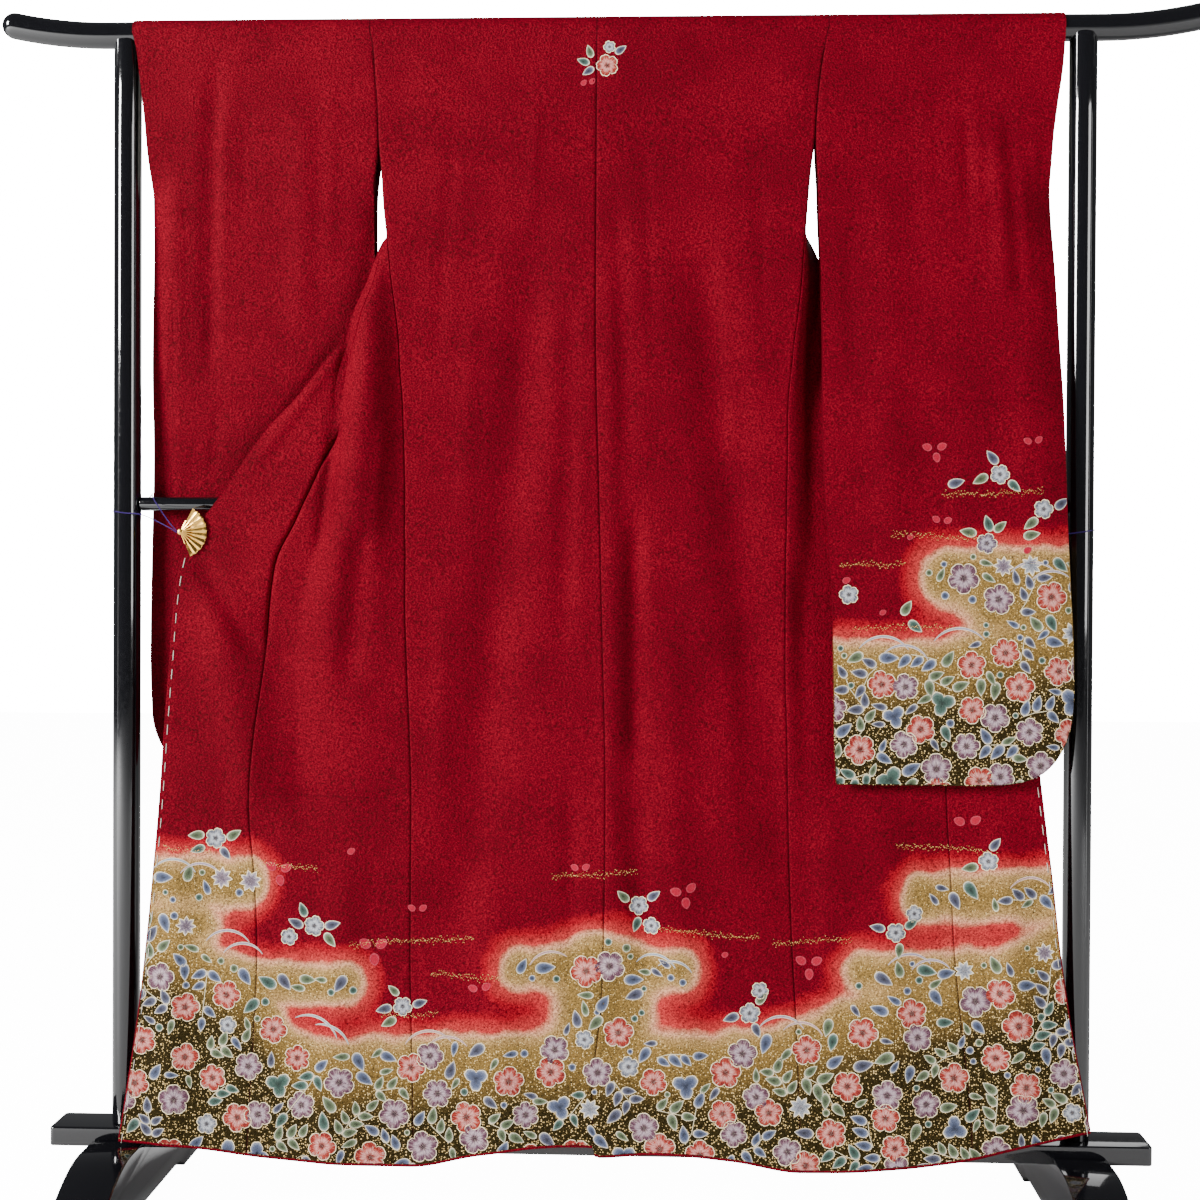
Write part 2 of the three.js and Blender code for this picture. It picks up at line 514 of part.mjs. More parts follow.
// The okumi, the long panel between the front and the free edge, narrowing to its tip at the collar.
function okumiSheet(side) {
  const points = SKIRT_ROWS.map((z) => {
    const okumi = readTable(side.front, "okumi", z);
    return Array.from({ length: OKUMI_COLUMNS + 1 }, (_, j) =>
      frontPoint(side, z, 1 - okumi * (1 - j / OKUMI_COLUMNS)));
  });
  return makeSheet(`okumi_${side.name}`, points, { insetLeft: true, material: crepeShade });
}

// ---- the sleeves ----

// A sleeve is one cloth folded over the rail, its layers closed by a seam at the foot and down the
// outer edge below the hand opening, and left open along the inner edge.
function sleeveSheet(side) {
  const rows = side.sleeve.map((row) => row.z);
  const bottom = rows[0];
  const seamHalf = (WALL + SEAM_GAP) / 2;
  const seamTop = RAIL_Z - HAND_OPENING;
  const layerPoint = (z, s, layer) => {
    const at = (column) => readTable(side.sleeve, column, z);
    const out = mix(at("inner"), at("outer"), s);
    const x = side.sign * out;
    const middle = (at("front") + at("rear")) / 2;
    const half = (at("rear") - at("front")) / 2;
    const closed = 1 - smooth((z - seamTop) / 60);
    const atEdge = 1 - Math.sqrt(1 - smooth((s - 0.86) / 0.14) * closed);
    const atFoot = 1 - smooth((z - bottom) / SLEEVE_BOTTOM_SOFT);
    const gap = mix(half, seamHalf, Math.max(atEdge, atFoot));
    const hang = foldDepth(side.sleeveFolds, x, z) * (1 - Math.max(atEdge, atFoot));
    return new THREE.Vector3(x, middle + layer * gap - hang, z);
  };
  const shares = Array.from({ length: SLEEVE_COLUMNS + 1 }, (_, j) => j / SLEEVE_COLUMNS);
  const points = rows.map((z) => shares.map((s) => layerPoint(z, s, -1)));
  for (let k = 1; k < WRAP_STEPS; k++) {
    const angle = (Math.PI * k) / WRAP_STEPS;
    points.push(shares.map((s) => overRail(layerPoint(RAIL_Z, s, -1).x, angle)));
  }
  points.push(...[...rows].reverse().map((z) => shares.map((s) => layerPoint(z, s, 1))));
  return makeSheet(`sleeve_${side.name}`, points, { insetLeft: true, material: crepeShade });
}

// ---- the collar ----

// The collar is one band folded double. It is sewn along both collar lines and round the neck,
// and lies behind the fronts. It starts and ends at the clips.
function collarSheet() {
  const clipZ = 982;
  const heights = [clipZ, ...[...SKIRT_ROWS, ...SHOULDER_ROWS].filter((z) => z > clipZ)];
  const behind = WALL / 2 + SEAM_GAP + COLLAR_WALL / 2;
  const line = (side) => heights.map((z) => frontPoint(side, z, 1));
  const neck = [-0.6, -0.2, 0.2, 0.6].map((s) =>
    new THREE.Vector3(NECK_HALF * s, RAIL_WRAP, RAIL_Z - 1));
  const path = [...line(SIDES[0]), ...neck, ...line(SIDES[1]).reverse()];
  const points = path.map((p, i) => {
    const before = path[Math.max(0, i - 2)];
    const after = path[Math.min(path.length - 1, i + 2)];
    const run = new THREE.Vector3().subVectors(after, before).setY(0).normalize();
    const inward = new THREE.Vector3(run.z, 0, -run.x);
    return Array.from({ length: COLLAR_COLUMNS + 1 }, (_, j) => {
      const across = 1.5 + (COLLAR_WIDTH * j) / COLLAR_COLUMNS;
      return p.clone().addScaledVector(inward, across).add(new THREE.Vector3(0, behind, 0));
    });
  });
  return makeSheet("collar", points, { thickness: COLLAR_WALL, material: crepeShade });
}

// ---- the stand ----

// A manifold-3d solid of a closed geometry.
function solidOf(geometry) {
  const bare = geometry.index ? geometry.toNonIndexed() : geometry.clone();
  bare.deleteAttribute("normal");
  bare.deleteAttribute("uv");
  const merged = mergeVertices(bare, 1e-4);
  return new wasm.Manifold(new wasm.Mesh({
    numProp: 3,
    vertProperties: merged.attributes.position.array,
    triVerts: new Uint32Array(merged.index.array),
  }));
}

function geometryOf(solid) {
  const mesh = solid.getMesh();
  const geometry = new THREE.BufferGeometry();
  const positions = new Float32Array(mesh.numVert * 3);
  for (let i = 0; i < mesh.numVert; i++) {
    positions.set(mesh.vertProperties.subarray(i * mesh.numProp, i * mesh.numProp + 3), i * 3);
  }
  geometry.setAttribute("position", new THREE.BufferAttribute(positions, 3));
  geometry.setIndex(new THREE.BufferAttribute(mesh.triVerts, 1));
  return geometry;
}

function meshOf(name, geometry, material) {
  const mesh = new THREE.Mesh(geometry, material);
  mesh.name = name;
  return mesh;
}

// A round bar along X or Z, centred on a point.
function bar(radius, length, axis, centre, sides = 28) {
  const geometry = new THREE.CylinderGeometry(radius, radius, length, sides);
  if (axis === "x") geometry.rotateZ(Math.PI / 2);
  if (axis === "z") geometry.rotateX(Math.PI / 2);
  return geometry.translate(...centre);
}

// The top rail: straight between the posts, swept up past them, with rounded tips.
function topRail() {
  const sides = 20;
  const stations = [];
  const tip = (turn) => ({
    x: RAIL_HALF - RAIL_R * (1 - Math.cos(turn)),
    radius: RAIL_R * Math.sin(turn),
  });
  const capSteps = 4;
  for (let k = 0; k <= capSteps; k++) stations.push(tip((Math.PI / 2) * Math.max(0.06, k / capSteps)));
  const sweepSteps = 5;
  const sweepFrom = RAIL_HALF - RAIL_R;
  for (let k = 1; k <= sweepSteps; k++) {
    stations.push({ x: mix(sweepFrom, RAIL_SWEEP_START, k / sweepSteps), radius: RAIL_R });
  }
  const half = stations.map(({ x, radius }) => ({ x, radius, z: sweptHeight(x) }));
  const line = [...half.map((p) => ({ ...p, x: -p.x })), ...half.reverse()];
  const positions = [];
  const index = [];
  line.forEach(({ x, radius, z }, i) => {
    const slope = (sweptHeight(Math.abs(x) + 1) - sweptHeight(Math.abs(x) - 1)) / 2;
    const lean = Math.atan(slope) * Math.sign(x);
    for (let k = 0; k < sides; k++) {
      const turn = (2 * Math.PI * k) / sides;
      const up = radius * Math.cos(turn);
      positions.push(x - up * Math.sin(lean), radius * Math.sin(turn), z + up * Math.cos(lean));
      const next = (k + 1) % sides;
      if (i === 0) continue;
      const [a, b, c, d] = [(i - 1) * sides + k, (i - 1) * sides + next, i * sides + next, i * sides + k];
      index.push(a, c, b, a, d, c);
    }
  });
  const lastRing = (line.length - 1) * sides;
  for (let k = 1; k + 1 < sides; k++) {
    index.push(0, k, k + 1);
    index.push(lastRing, lastRing + k + 1, lastRing + k);
  }
  const geometry = new THREE.BufferGeometry();
  geometry.setAttribute("position", new THREE.Float32BufferAttribute(positions, 3));
  geometry.setIndex(index);
  return meshOf("top_rail", geometry.toNonIndexed(), lacquer);
}

function sweptHeight(x) {
  const along = Math.max(0, (x - RAIL_SWEEP_START) / (RAIL_HALF - RAIL_SWEEP_START));
  return RAIL_Z + RAIL_RISE * along * along;
}

// A post stands on the board and ends in a saddle under the rail.
function post(side) {
  const x = side.sign * POST_X;
  const bottom = BOARD.top + SEAM_GAP;
  const top = RAIL_Z - RAIL_R / 2;
  const stick = solidOf(bar(POST_R, top - bottom, "z", [x, 0, (top + bottom) / 2]));
  const saddle = solidOf(bar(RAIL_R + SEAM_GAP, 3 * POST_R, "x", [x, 0, RAIL_Z]));
  return meshOf(`post_${side.name}`, geometryOf(stick.subtract(saddle)), lacquer);
}

// The middle rail runs from post to post, its ends hollowed to their round.
function midRail() {
  let rail = solidOf(bar(MID_RAIL_R, 2 * POST_X, "x", [0, 0, MID_RAIL_Z], 20));
  for (const side of SIDES) {
    rail = rail.subtract(solidOf(bar(POST_R + SEAM_GAP, 60, "z", [side.sign * POST_X, 0, MID_RAIL_Z])));
  }
  return meshOf("mid_rail", geometryOf(rail), lacquer);
}

// The flat board between the feet, its upright corners rounded.
function baseBoard() {
  const { half, depth, bottom, top, corner } = BOARD;
  const y = depth / 2;
  const shape = new THREE.Shape();
  shape.moveTo(-half + corner, -y);
  shape.lineTo(half - corner, -y);
  shape.quadraticCurveTo(half, -y, half, -y + corner);
  shape.lineTo(half, y - corner);
  shape.quadraticCurveTo(half, y, half - corner, y);
  shape.lineTo(-half + corner, y);
  shape.quadraticCurveTo(-half, y, -half, y - corner);
  shape.lineTo(-half, -y + corner);
  shape.quadraticCurveTo(-half, -y, -half + corner, -y);
  const geometry = new THREE.ExtrudeGeometry(shape, { depth: top - bottom, bevelEnabled: false, curveSegments: 4 });
  return meshOf("base_board", geometry.translate(0, 0, bottom), lacquer);
}

// A foot: a humped runner across the board, notched for it, arched underneath between its toes.
function foot(side) {
  const { width, half, hump, shoulder, toe, padStart, arch } = FOOT;
  const notch = BOARD.depth / 2 + SEAM_GAP;
  const seat = BOARD.bottom - SEAM_GAP;
  const bevel = 2;
  const shape = new THREE.Shape();
  shape.moveTo(-half, 0);
  shape.lineTo(-half, toe - 14);
  shape.quadraticCurveTo(-half, toe, -half + 16, toe + 6);
  shape.bezierCurveTo(-half + 50, toe + 24, -shoulder - 60, hump - 16, -shoulder, hump);
  shape.lineTo(-notch, hump);
  shape.lineTo(-notch, seat);
  shape.lineTo(notch, seat);
  shape.lineTo(notch, hump);
  shape.lineTo(shoulder, hump);
  shape.bezierCurveTo(shoulder + 60, hump - 16, half - 50, toe + 24, half - 16, toe + 6);
  shape.quadraticCurveTo(half, toe, half, toe - 14);
  shape.lineTo(half, 0);
  shape.lineTo(padStart, 0);
  shape.quadraticCurveTo(padStart - 14, arch, padStart - 44, arch);
  shape.lineTo(-padStart + 44, arch);
  shape.quadraticCurveTo(-padStart + 14, arch, -padStart, 0);
  const geometry = new THREE.ExtrudeGeometry(shape, {
    depth: width - 2 * bevel,
    bevelThickness: bevel,
    bevelSize: bevel,
    bevelOffset: -bevel,
    bevelSegments: 1,
    curveSegments: 6,
  });
  const stand = new THREE.Matrix4().makeBasis(
    new THREE.Vector3(0, 1, 0),
    new THREE.Vector3(0, 0, 1),
    new THREE.Vector3(1, 0, 0),
  );
  geometry.translate(0, 0, bevel - width / 2).applyMatrix4(stand);
  return meshOf(`foot_${side.name}`, geometry.translate(side.sign * POST_X, 0, 0), lacquer);
}

// ---- the clips and their threads ----

// The front's cloth beside a clip: its nearest and farthest y under the fan.
function clothUnderClip(side) {
  const ys = [];
  for (let z = CLIP.z - 34; z <= CLIP.z + 34; z += 4) {
    for (let s = 0.85; s <= 1.001; s += 0.03) {
      const p = frontPoint(side, z, s);
      if (Math.abs(p.x) > CLIP.x - CLIP.fanRadius) ys.push(p.y);
    }
  }
  return { front: Math.min(...ys) - WALL / 2, rear: Math.max(...ys) + WALL / 2 };
}

// Where a clip's two jaws lie, in front of and behind the cloth.
function clipLevels(side) {
  const cloth = clothUnderClip(side);
  return {
    fan: cloth.front - SEAM_GAP - CLIP.plate / 2 - CLIP.pleat / 2,
    jaw: cloth.rear + SEAM_GAP + COLLAR_WALL + SEAM_GAP + CLIP.plate / 2 + 0.4,
  };
}

// A clip: a ribbed fan in front of the cloth, a plain jaw behind, and the knob that joins them.
function clip(side) {
  const { fan, jaw } = clipLevels(side);
  const x = side.sign * CLIP.x;
  const radial = [0.07, 0.4, 0.7, 1];
  const columns = 2 * CLIP.ribs;
  const points = radial.map((share) =>
    Array.from({ length: columns + 1 }, (_, j) => {
      const angle = (mix(CLIP.fanFrom, CLIP.fanTo, j / columns) * Math.PI) / 180;
      const scallop = share === 1 && j % 2 === 0 ? 0.95 : 1;
      const r = CLIP.fanRadius * share * scallop;
      const rib = (j % 2 === 0 ? 0.5 : -0.5) * CLIP.pleat * Math.min(1, share * 1.3);
      return new THREE.Vector3(x - side.sign * r * Math.cos(angle), fan + rib, CLIP.z + r * Math.sin(angle));
    }));
  const leaf = solidOf(clothWall(makeSheet("fan", points, { thickness: CLIP.plate })));
  const plate = new THREE.BoxGeometry(CLIP.jawLength, CLIP.plate, 2 * CLIP.jawHalf);
  plate.translate(x - (side.sign * CLIP.jawLength) / 2, jaw, CLIP.z);
  const front = fan - CLIP.plate;
  const knob = new THREE.CylinderGeometry(CLIP.knobRadius, CLIP.knobRadius, jaw + CLIP.plate / 2 - front, 16);
  knob.translate(x, (jaw + CLIP.plate / 2 + front) / 2, CLIP.z);
  const whole = leaf.add(solidOf(plate)).add(solidOf(knob));
  return meshOf(`clip_${side.name}`, geometryOf(whole), gold);
}

// A thread is tied to a clip's knob and taken round the post. On the left it also crosses the
// middle rail.
function thread(side) {
  const { fan } = clipLevels(side);
  const out = side.sign;
  const turn = POST_R + 2 * THREAD_R;
  const tie = CLIP.x + CLIP.knobRadius + 2 * THREAD_R;
  const around = (degrees, z) => {
    const angle = (degrees * Math.PI) / 180;
    return new THREE.Vector3(out * (POST_X + turn * Math.cos(angle)), turn * Math.sin(angle), z);
  };
  const left = side.name === "left";
  const level = left ? 1000 : 978;
  const back = left
    ? [
      new THREE.Vector3(out * 646, 5, MID_RAIL_Z + MID_RAIL_R + 3),
      new THREE.Vector3(out * 642, -5, MID_RAIL_Z + MID_RAIL_R + 2),
      new THREE.Vector3(out * 634, -15, MID_RAIL_Z + 2),
      new THREE.Vector3(out * 612, fan + 6, 990),
    ]
    : [new THREE.Vector3(out * 640, 0, 979), new THREE.Vector3(out * 614, fan + 6, 975)];
  const points = [
    new THREE.Vector3(out * tie, fan, CLIP.z - 1.2),
    new THREE.Vector3(out * (tie + 12), fan + 1, mix(CLIP.z, level, 0.25)),
    new THREE.Vector3(out * 650, -22, level - 2),
    around(-95, level + 1),
    around(-60, level + 3),
    around(-20, level + 4),
    around(20, level + 5),
    around(60, level + 5),
    around(100, level + 5),
    around(125, level + 6),
    ...back,
    new THREE.Vector3(out * tie, fan, CLIP.z + 1.2),
  ];
  const section = new THREE.Shape().absarc(0, 0, THREAD_R, 0, 2 * Math.PI);
  const geometry = new THREE.ExtrudeGeometry(section, {
    steps: 40,
    curveSegments: THREAD_SIDES / 2,
    bevelEnabled: false,
    extrudePath: new THREE.CatmullRomCurve3(points, false, "centripetal"),
  });
  return meshOf(`thread_${side.name}`, geometry, purpleThread);
}

// ---- the whole ----

const kimono = new THREE.Group();
const sheets = [...SIDES.flatMap((side) => [bodySheet(side), okumiSheet(side), sleeveSheet(side)]), collarSheet()];
matchSeams(sheets);
for (const sheet of sheets) kimono.add(meshOf(sheet.name, clothWall(sheet), sheet.material));

const stand = new THREE.Group();
stand.add(topRail(), midRail(), baseBoard());
for (const side of SIDES) stand.add(post(side), foot(side), clip(side), thread(side));

const model = new THREE.Group();
model.add(kimono, stand);
export default model;
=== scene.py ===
"""A furisode kimono hung on its stand, back to the viewer: cloth, dyed border, stand and clips."""
import math
import random

import bmesh
import bpy
import numpy as np
from bpy.props import FloatProperty, FloatVectorProperty, IntProperty, PointerProperty
from mathutils import Matrix, Vector


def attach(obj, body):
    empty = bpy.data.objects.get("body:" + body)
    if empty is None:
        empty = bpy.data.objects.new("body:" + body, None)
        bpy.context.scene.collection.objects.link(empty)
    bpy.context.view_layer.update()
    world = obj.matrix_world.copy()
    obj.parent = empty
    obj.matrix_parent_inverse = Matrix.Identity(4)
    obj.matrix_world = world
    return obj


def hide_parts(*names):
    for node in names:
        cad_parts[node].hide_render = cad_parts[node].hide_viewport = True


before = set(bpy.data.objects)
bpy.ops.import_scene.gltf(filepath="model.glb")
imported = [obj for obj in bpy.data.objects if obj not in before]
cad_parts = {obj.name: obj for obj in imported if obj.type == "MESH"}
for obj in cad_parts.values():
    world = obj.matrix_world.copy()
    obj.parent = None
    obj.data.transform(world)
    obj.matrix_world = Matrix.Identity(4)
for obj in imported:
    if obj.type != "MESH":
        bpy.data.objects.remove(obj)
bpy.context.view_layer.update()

bl_info = {
    "name": "Furisode kimono on a stand",
    "version": (1, 0, 0),
    "blender": (4, 5, 0),
    "location": "View3D > Sidebar > Kimono",
    "description": "Builds a furisode kimono with a dyed flower border on a lacquered stand",
    "category": "Add Mesh",
}

MM = 0.001

# ---- sizes, in millimetres, on the frame's axes ----

RAIL_Z, RAIL_R, RAIL_HALF, RAIL_RISE, RAIL_SWEEP = 1688.0, 18.5, 862.0, 19.0, 705.0
POST_X, POST_R = 679.5, 19.5
MID_RAIL_Z, MID_RAIL_R = 1015.0, 10.0
BOARD_HALF, BOARD_DEPTH, BOARD_BOTTOM, BOARD_TOP = 780.0, 70.0, 95.0, 122.0
FOOT_WIDTH, FOOT_HALF, FOOT_HUMP, FOOT_SHOULDER = 75.0, 262.0, 104.0, 105.0
FOOT_TOE, FOOT_PAD, FOOT_ARCH = 36.0, 172.0, 15.0
SOLID_WALL, GAP = 1.6, 0.3
WRAP = (RAIL_R + GAP + SOLID_WALL / 2) / math.cos(math.pi / 16)
NECK_HALF, OKUMI_WIDTH, OKUMI_TIP, SLEEVE_WIDTH, HAND_OPENING = 85.0, 165.0, 1409.0, 320.0, 230.0
COLLAR_WIDTH, COLLAR_WALL, COLLAR_LAP, COLLAR_END = 55.0, 3.0, 1.5, 982.0
ROUND_RAIL = np.linspace(0, math.pi, 14)[1:-1]
HEM_ROW, HEM_SETTLE, FOLDS_TOP, SHELF = 118.0, 290.0, 1402.0, 30.0
CLIP_X, CLIP_Z, FAN_R, FAN_FROM, FAN_TO, THREAD_R = 592.0, 974.0, 38.0, -68, 62, 20.7


def table(columns, rows):
    """Rows of numbers as a dict of named columns; what a short row leaves out is 0."""
    names = columns.split()
    full = [(*row, *[0] * (len(names) - len(row))) for row in rows]
    return dict(zip(names, np.array(full, float).T))


BACK = table("z centre y", [
    (118, 0, -50), (190, -2, -49), (311, 10, -47), (418, 13, -46), (599, 14, -43), (838, 8, -37),
    (1054, 2, -32), (1222, -3, -28), (1400, -4, -25), (1543, -4, -22), (RAIL_Z, -4, -WRAP)])

# Widths are measured outward from the middle; okumi is a share of the front's width.
FRONT_COLUMNS = "z side okumi edge y_side y_edge loop ridge pleat"
LEFT_FRONT = table(FRONT_COLUMNS, [
    (118, 254, .436, 674, -50, -52, 0, 400), (190, 255, .43, 662, -49, -51, 0, 400),
    (290, 258, .427, 647, -47, -49, 0, 400), (390, 260, .42, 636, -46, -47, 0, 405),
    (490, 260, .392, 627, -45, -45, 0, 412, 1), (590, 260, .357, 619, -43, -43, 0, 420, 3),
    (690, 263, .369, 613, -41, -40, 0, 426, 6), (790, 268, .397, 606, -38, -37, 0, 426, 11),
    (886, 271, .412, 599, -36, -34, 0, 416, 18), (944, 271, .426, 588, -34, -32, 0, 400, 23),
    (980, 272, .456, 570, -34, -31, 0, 388, 25), (1024, 272, .464, 537, -33, -29, 0, 382, 27),
    (1068, 273, .489, 508, -32, -27, 0, 376, 28), (1121, 275, .528, 470, -31, -26, 0, 369, 28),
    (1165, 277, .444, 428, -30, -25, 0, 362, 27), (1208, 281, .363, 394, -29, -24, 0, 356, 24),
    (1247, 283, .244, 365, -28, -23, 0, 351, 20), (1290, 288, .25, 348, -28, -22, 0, 346, 14),
    (1330, 294, .31, 329, -27, -20, 0, 329, 8), (1360, 297, .3, 319, -26, -15, 0, 319, 3),
    (1388, 300, .25, 309, -25, -7, 0, 309), (1412, 303, 0, 291, -15, 0, 8, 300),
    (1440, 306, 0, 270, -4, 4, 26, 300), (1486, 309, 0, 236, 11, 8, 44, 300),
    (1527, 313, 0, 206, 21, 11, 46, 300), (1575, 315, 0, 169, 21, 15, 36, 300),
    (1625, 319, 0, 132, 21, 18, 18, 300), (1664, 322, 0, 103, 20, 20, 5, 300),
    (RAIL_Z, 327, 0, NECK_HALF, WRAP, WRAP, 0, 300)])
RIGHT_FRONT = table(FRONT_COLUMNS, [
    (118, 291, .406, 690, -50, -50), (190, 288, .396, 679, -49, -49), (290, 283, .397, 663, -47, -47),
    (390, 277, .393, 648, -46, -45), (490, 273, .385, 637, -45, -42), (590, 270, .377, 625, -43, -38),
    (690, 268, .367, 614, -41, -32), (790, 265, .375, 606, -38, -27), (886, 265, .4, 600, -36, -22),
    (944, 265, .421, 590, -34, -20), (980, 266, .447, 570, -34, -18.5),
    (1024, 266, .461, 537, -33, -17), (1068, 267, .48, 508, -32, -15), (1121, 267, .5, 470, -31, -12),
    (1165, 268, .419, 428, -30, -8), (1208, 272, .35, 394, -29, -3), (1247, 276, .25, 364, -28),
    (1290, 282, .27, 346, -28, 4), (1330, 286, .2, 326, -27, 8), (1360, 288, .16, 313, -26, 11),
    (1388, 290, .12, 300, -25, 14), (1412, 292, 0, 285, -15, 16, 8), (1440, 294, 0, 265, -4, 17, 24),
    (1486, 298, 0, 234, 7, 18, 36), (1527, 303, 0, 206, 12.5, 19, 38),
    (1575, 306, 0, 169, 15.5, 20, 30), (1625, 311, 0, 132, 18, 20, 16),
    (1664, 317, 0, 103, 19.2, 20, 5), (RAIL_Z, 322, 0, NECK_HALF, WRAP, WRAP)])

HEM = table("x z", [
    (-676, 110), (-560, 101), (-443, 88), (-340, 82), (-260, 81), (-165, 98), (-92, 109), (-13, 113),
    (-2, 113), (3, 99), (87, 104), (194, 97), (290, 83), (379, 86), (516, 103), (608, 126), (690, 146)])

SLEEVE_COLUMNS = "z inner outer front rear"
LEFT_SLEEVE = table(SLEEVE_COLUMNS, [
    (625, 322, 540, 18, 23), (629, 322, 578, 18, 23), (638, 322, 606, 17.5, 23.5),
    (655, 322, 627, 17, 24), (677, 322, 640, 16.5, 24.5), (701, 322, 647, 16, 25),
    (728, 322, 649, 15.5, 25.5), (800, 322, 651, 15, 26), (900, 322, 650, 15, 27),
    (1000, 322, 648, 15, 27), (1040, 322, 647, 14.5, 27), (1100, 322, 646, 11, 26),
    (1200, 322, 647, 5, 25), (1300, 322, 645, -1, 24), (1400, 322.5, 643, -6, 23),
    (1458, 321, 643, -12, 22), (1527, 314, 647, -19, 21), (1575, 315, 651, -21, 21),
    (1625, 319, 657, -20.6, 21), (1664, 322, 662, -20, 20), (RAIL_Z, 327, 668, -WRAP, WRAP)])
RIGHT_SLEEVE = table(SLEEVE_COLUMNS, [
    (626, 336, 552, -56, -48), (631, 335.5, 588, -56, -48), (640, 335, 614, -55.5, -47.5),
    (656, 334, 634, -55, -47), (677, 333, 648, -54.5, -46), (701, 332, 657, -54, -45),
    (728, 332, 662, -53, -44), (790, 331.5, 663, -51, -40), (890, 329, 659, -48, -36),
    (980, 323, 655, -45, -31), (1050, 318, 653, -43, -27), (1160, 315, 649, -40, -21),
    (1250, 314.5, 643, -37, -16), (1350, 311, 637, -34, -8), (1420, 308, 632, -31, 0),
    (1458, 307, 631, -29, 4), (1527, 304, 634, -24, 12.5), (1575, 306, 640, -21.6, 15.5),
    (1625, 311, 647, -20.8, 18), (1664, 317, 650, -20, 19.2), (RAIL_Z, 322, 651, -WRAP, WRAP)])

# Long soft folds: from (x, top) down to (low_x, low), half width, depth to the viewer.
FOLD_COLUMNS = "x top low_x low half depth"
FOLDS = table(FOLD_COLUMNS, [
    (-78, 1475, -196, 330, 36, -10), (-38, 1370, -46, 760, 17, -4), (53, 1030, 56, 610, 15, -10),
    (128, 1470, 292, 330, 36, -10), (16, 1500, 24, 240, 13, 3), (-34, 640, -32, 240, 15, -4),
    (98, 900, 130, 170, 26, 6), (-150, 520, -120, 60, 30, 5), (-571, 944, -480, 790, 16, -6),
    (-550, 928, -478, 560, 33, 8), (-470, 904, -405, 544, 38, -8), (-330, 1000, -352, 740, 20, -8),
    (-350, 560, -372, 60, 30, 6), (-590, 560, -608, 60, 22, 5), (560, 640, 600, 90, 26, 6),
    (400, 640, 430, 90, 30, 5), (52, 640, 76, 330, 18, -6), (20, 1480, 46, 1050, 14, -3),
    (288, 1300, 286, 880, 13, 6)])
LEFT_SLEEVE_FOLDS = table(FOLD_COLUMNS, [
    (-545, 1670, -562, 1175, 10, -6.5), (-420, 1600, -430, 1240, 20, 4),
    (-612, 1480, -620, 1180, 16, 4), (-306, 1500, -366, 1060, 17, -6)])
RIGHT_SLEEVE_FOLDS = table(FOLD_COLUMNS, [
    (552, 1560, 566, 1280, 14, 5), (514, 1580, 517, 1420, 9, -4), (610, 1500, 622, 1300, 12, -4),
    (400, 1500, 410, 900, 26, 4)])

# Small creases: from (x0, z0) to (x1, z1), half width, depth, and 1 for a pressed line.
CREASE_COLUMNS = "x0 z0 x1 z1 half depth step"
BODY_CREASES = table(CREASE_COLUMNS, [
    (-490, 604, -262, 598, 5, 2.0, 1), (-170, 622, 10, 645, 5, 1.6, 1), (20, 1352, 190, 1352, 4, .8, 1),
    (-318, 1290, -508, 1046, 10, 3.4), (-345, 1330, -374, 1130, 7, -5.0),
    (-372, 1150, -398, 930, 8, -5.0), (-205, 1560, -232, 1180, 9, -1.8),
    (-176, 1330, -190, 980, 11, 1.6), (-86, 1600, -98, 1390, 7, 1.3), (60, 1560, 78, 1230, 10, -1.5),
    (172, 1420, 196, 1010, 12, 1.9), (222, 1500, 236, 1240, 8, -1.4), (-20, 1150, -26, 860, 9, 1.2),
    (-214, 900, -222, 560, 13, 1.7), (206, 880, 214, 520, 14, -1.8), (34, 560, 44, 330, 12, 1.5),
    (-300, 1150, -318, 900, 8, 1.5), (-430, 820, -446, 560, 12, 1.5), (-520, 700, -540, 420, 14, -1.7),
    (480, 600, 500, 330, 13, -1.6), (330, 600, 322, 360, 12, 1.4), (630, 560, 652, 300, 10, 1.3),
    (-600, 860, -604, 640, 9, 1.1)])
LEFT_SLEEVE_CREASES = table(CREASE_COLUMNS, [
    (-640, 1165, -326, 1163, 4.5, 2.0, 1), (-560, 1640, -574, 1250, 6, -2.6),
    (-536, 1600, -548, 1300, 7, 2.2), (-380, 1640, -388, 1330, 9, 1.5),
    (-500, 1600, -512, 1400, 8, -1.4), (-460, 1120, -466, 820, 12, 1.6),
    (-590, 1100, -600, 850, 10, -1.2), (-352, 1272, -540, 1022, 9, -5.0),
    (-611, 1350, -616, 1165, 5, -3.0), (-548, 1165, -560, 1050, 6, -2.4)])
RIGHT_SLEEVE_CREASES = table(CREASE_COLUMNS, [
    (318, 1162, 646, 1160, 4.5, 2.0, 1), (566, 1600, 590, 1290, 6, -2.6),
    (520, 1620, 534, 1330, 7, 2.4), (606, 1560, 622, 1240, 6, 2.2), (450, 1630, 462, 1380, 8, 1.4),
    (350, 1420, 356, 1180, 9, -1.4), (590, 1240, 596, 1010, 10, 1.3), (480, 1120, 488, 930, 11, -1.3)])


class Side:
    """One side of the kimono: its tables, and sign, -1 for left and 1 for right."""

    def __init__(self, sign, front, sleeve, folds, creases):
        self.sign, self.front, self.sleeve, self.folds, self.creases = sign, front, sleeve, folds, creases

    def out(self, x):
        """A distance outward from the middle as a place."""
        return self.sign * x


SIDES = {
    "left": Side(-1, LEFT_FRONT, LEFT_SLEEVE, LEFT_SLEEVE_FOLDS, LEFT_SLEEVE_CREASES),
    "right": Side(1, RIGHT_FRONT, RIGHT_SLEEVE, RIGHT_SLEEVE_FOLDS, RIGHT_SLEEVE_CREASES),
}


# ---- small sums on arrays ----

def smooth(t):
    t = np.clip(t, 0, 1)
    return t * t * (3 - 2 * t)


def mix(a, b, t):
    return a + (b - a) * t


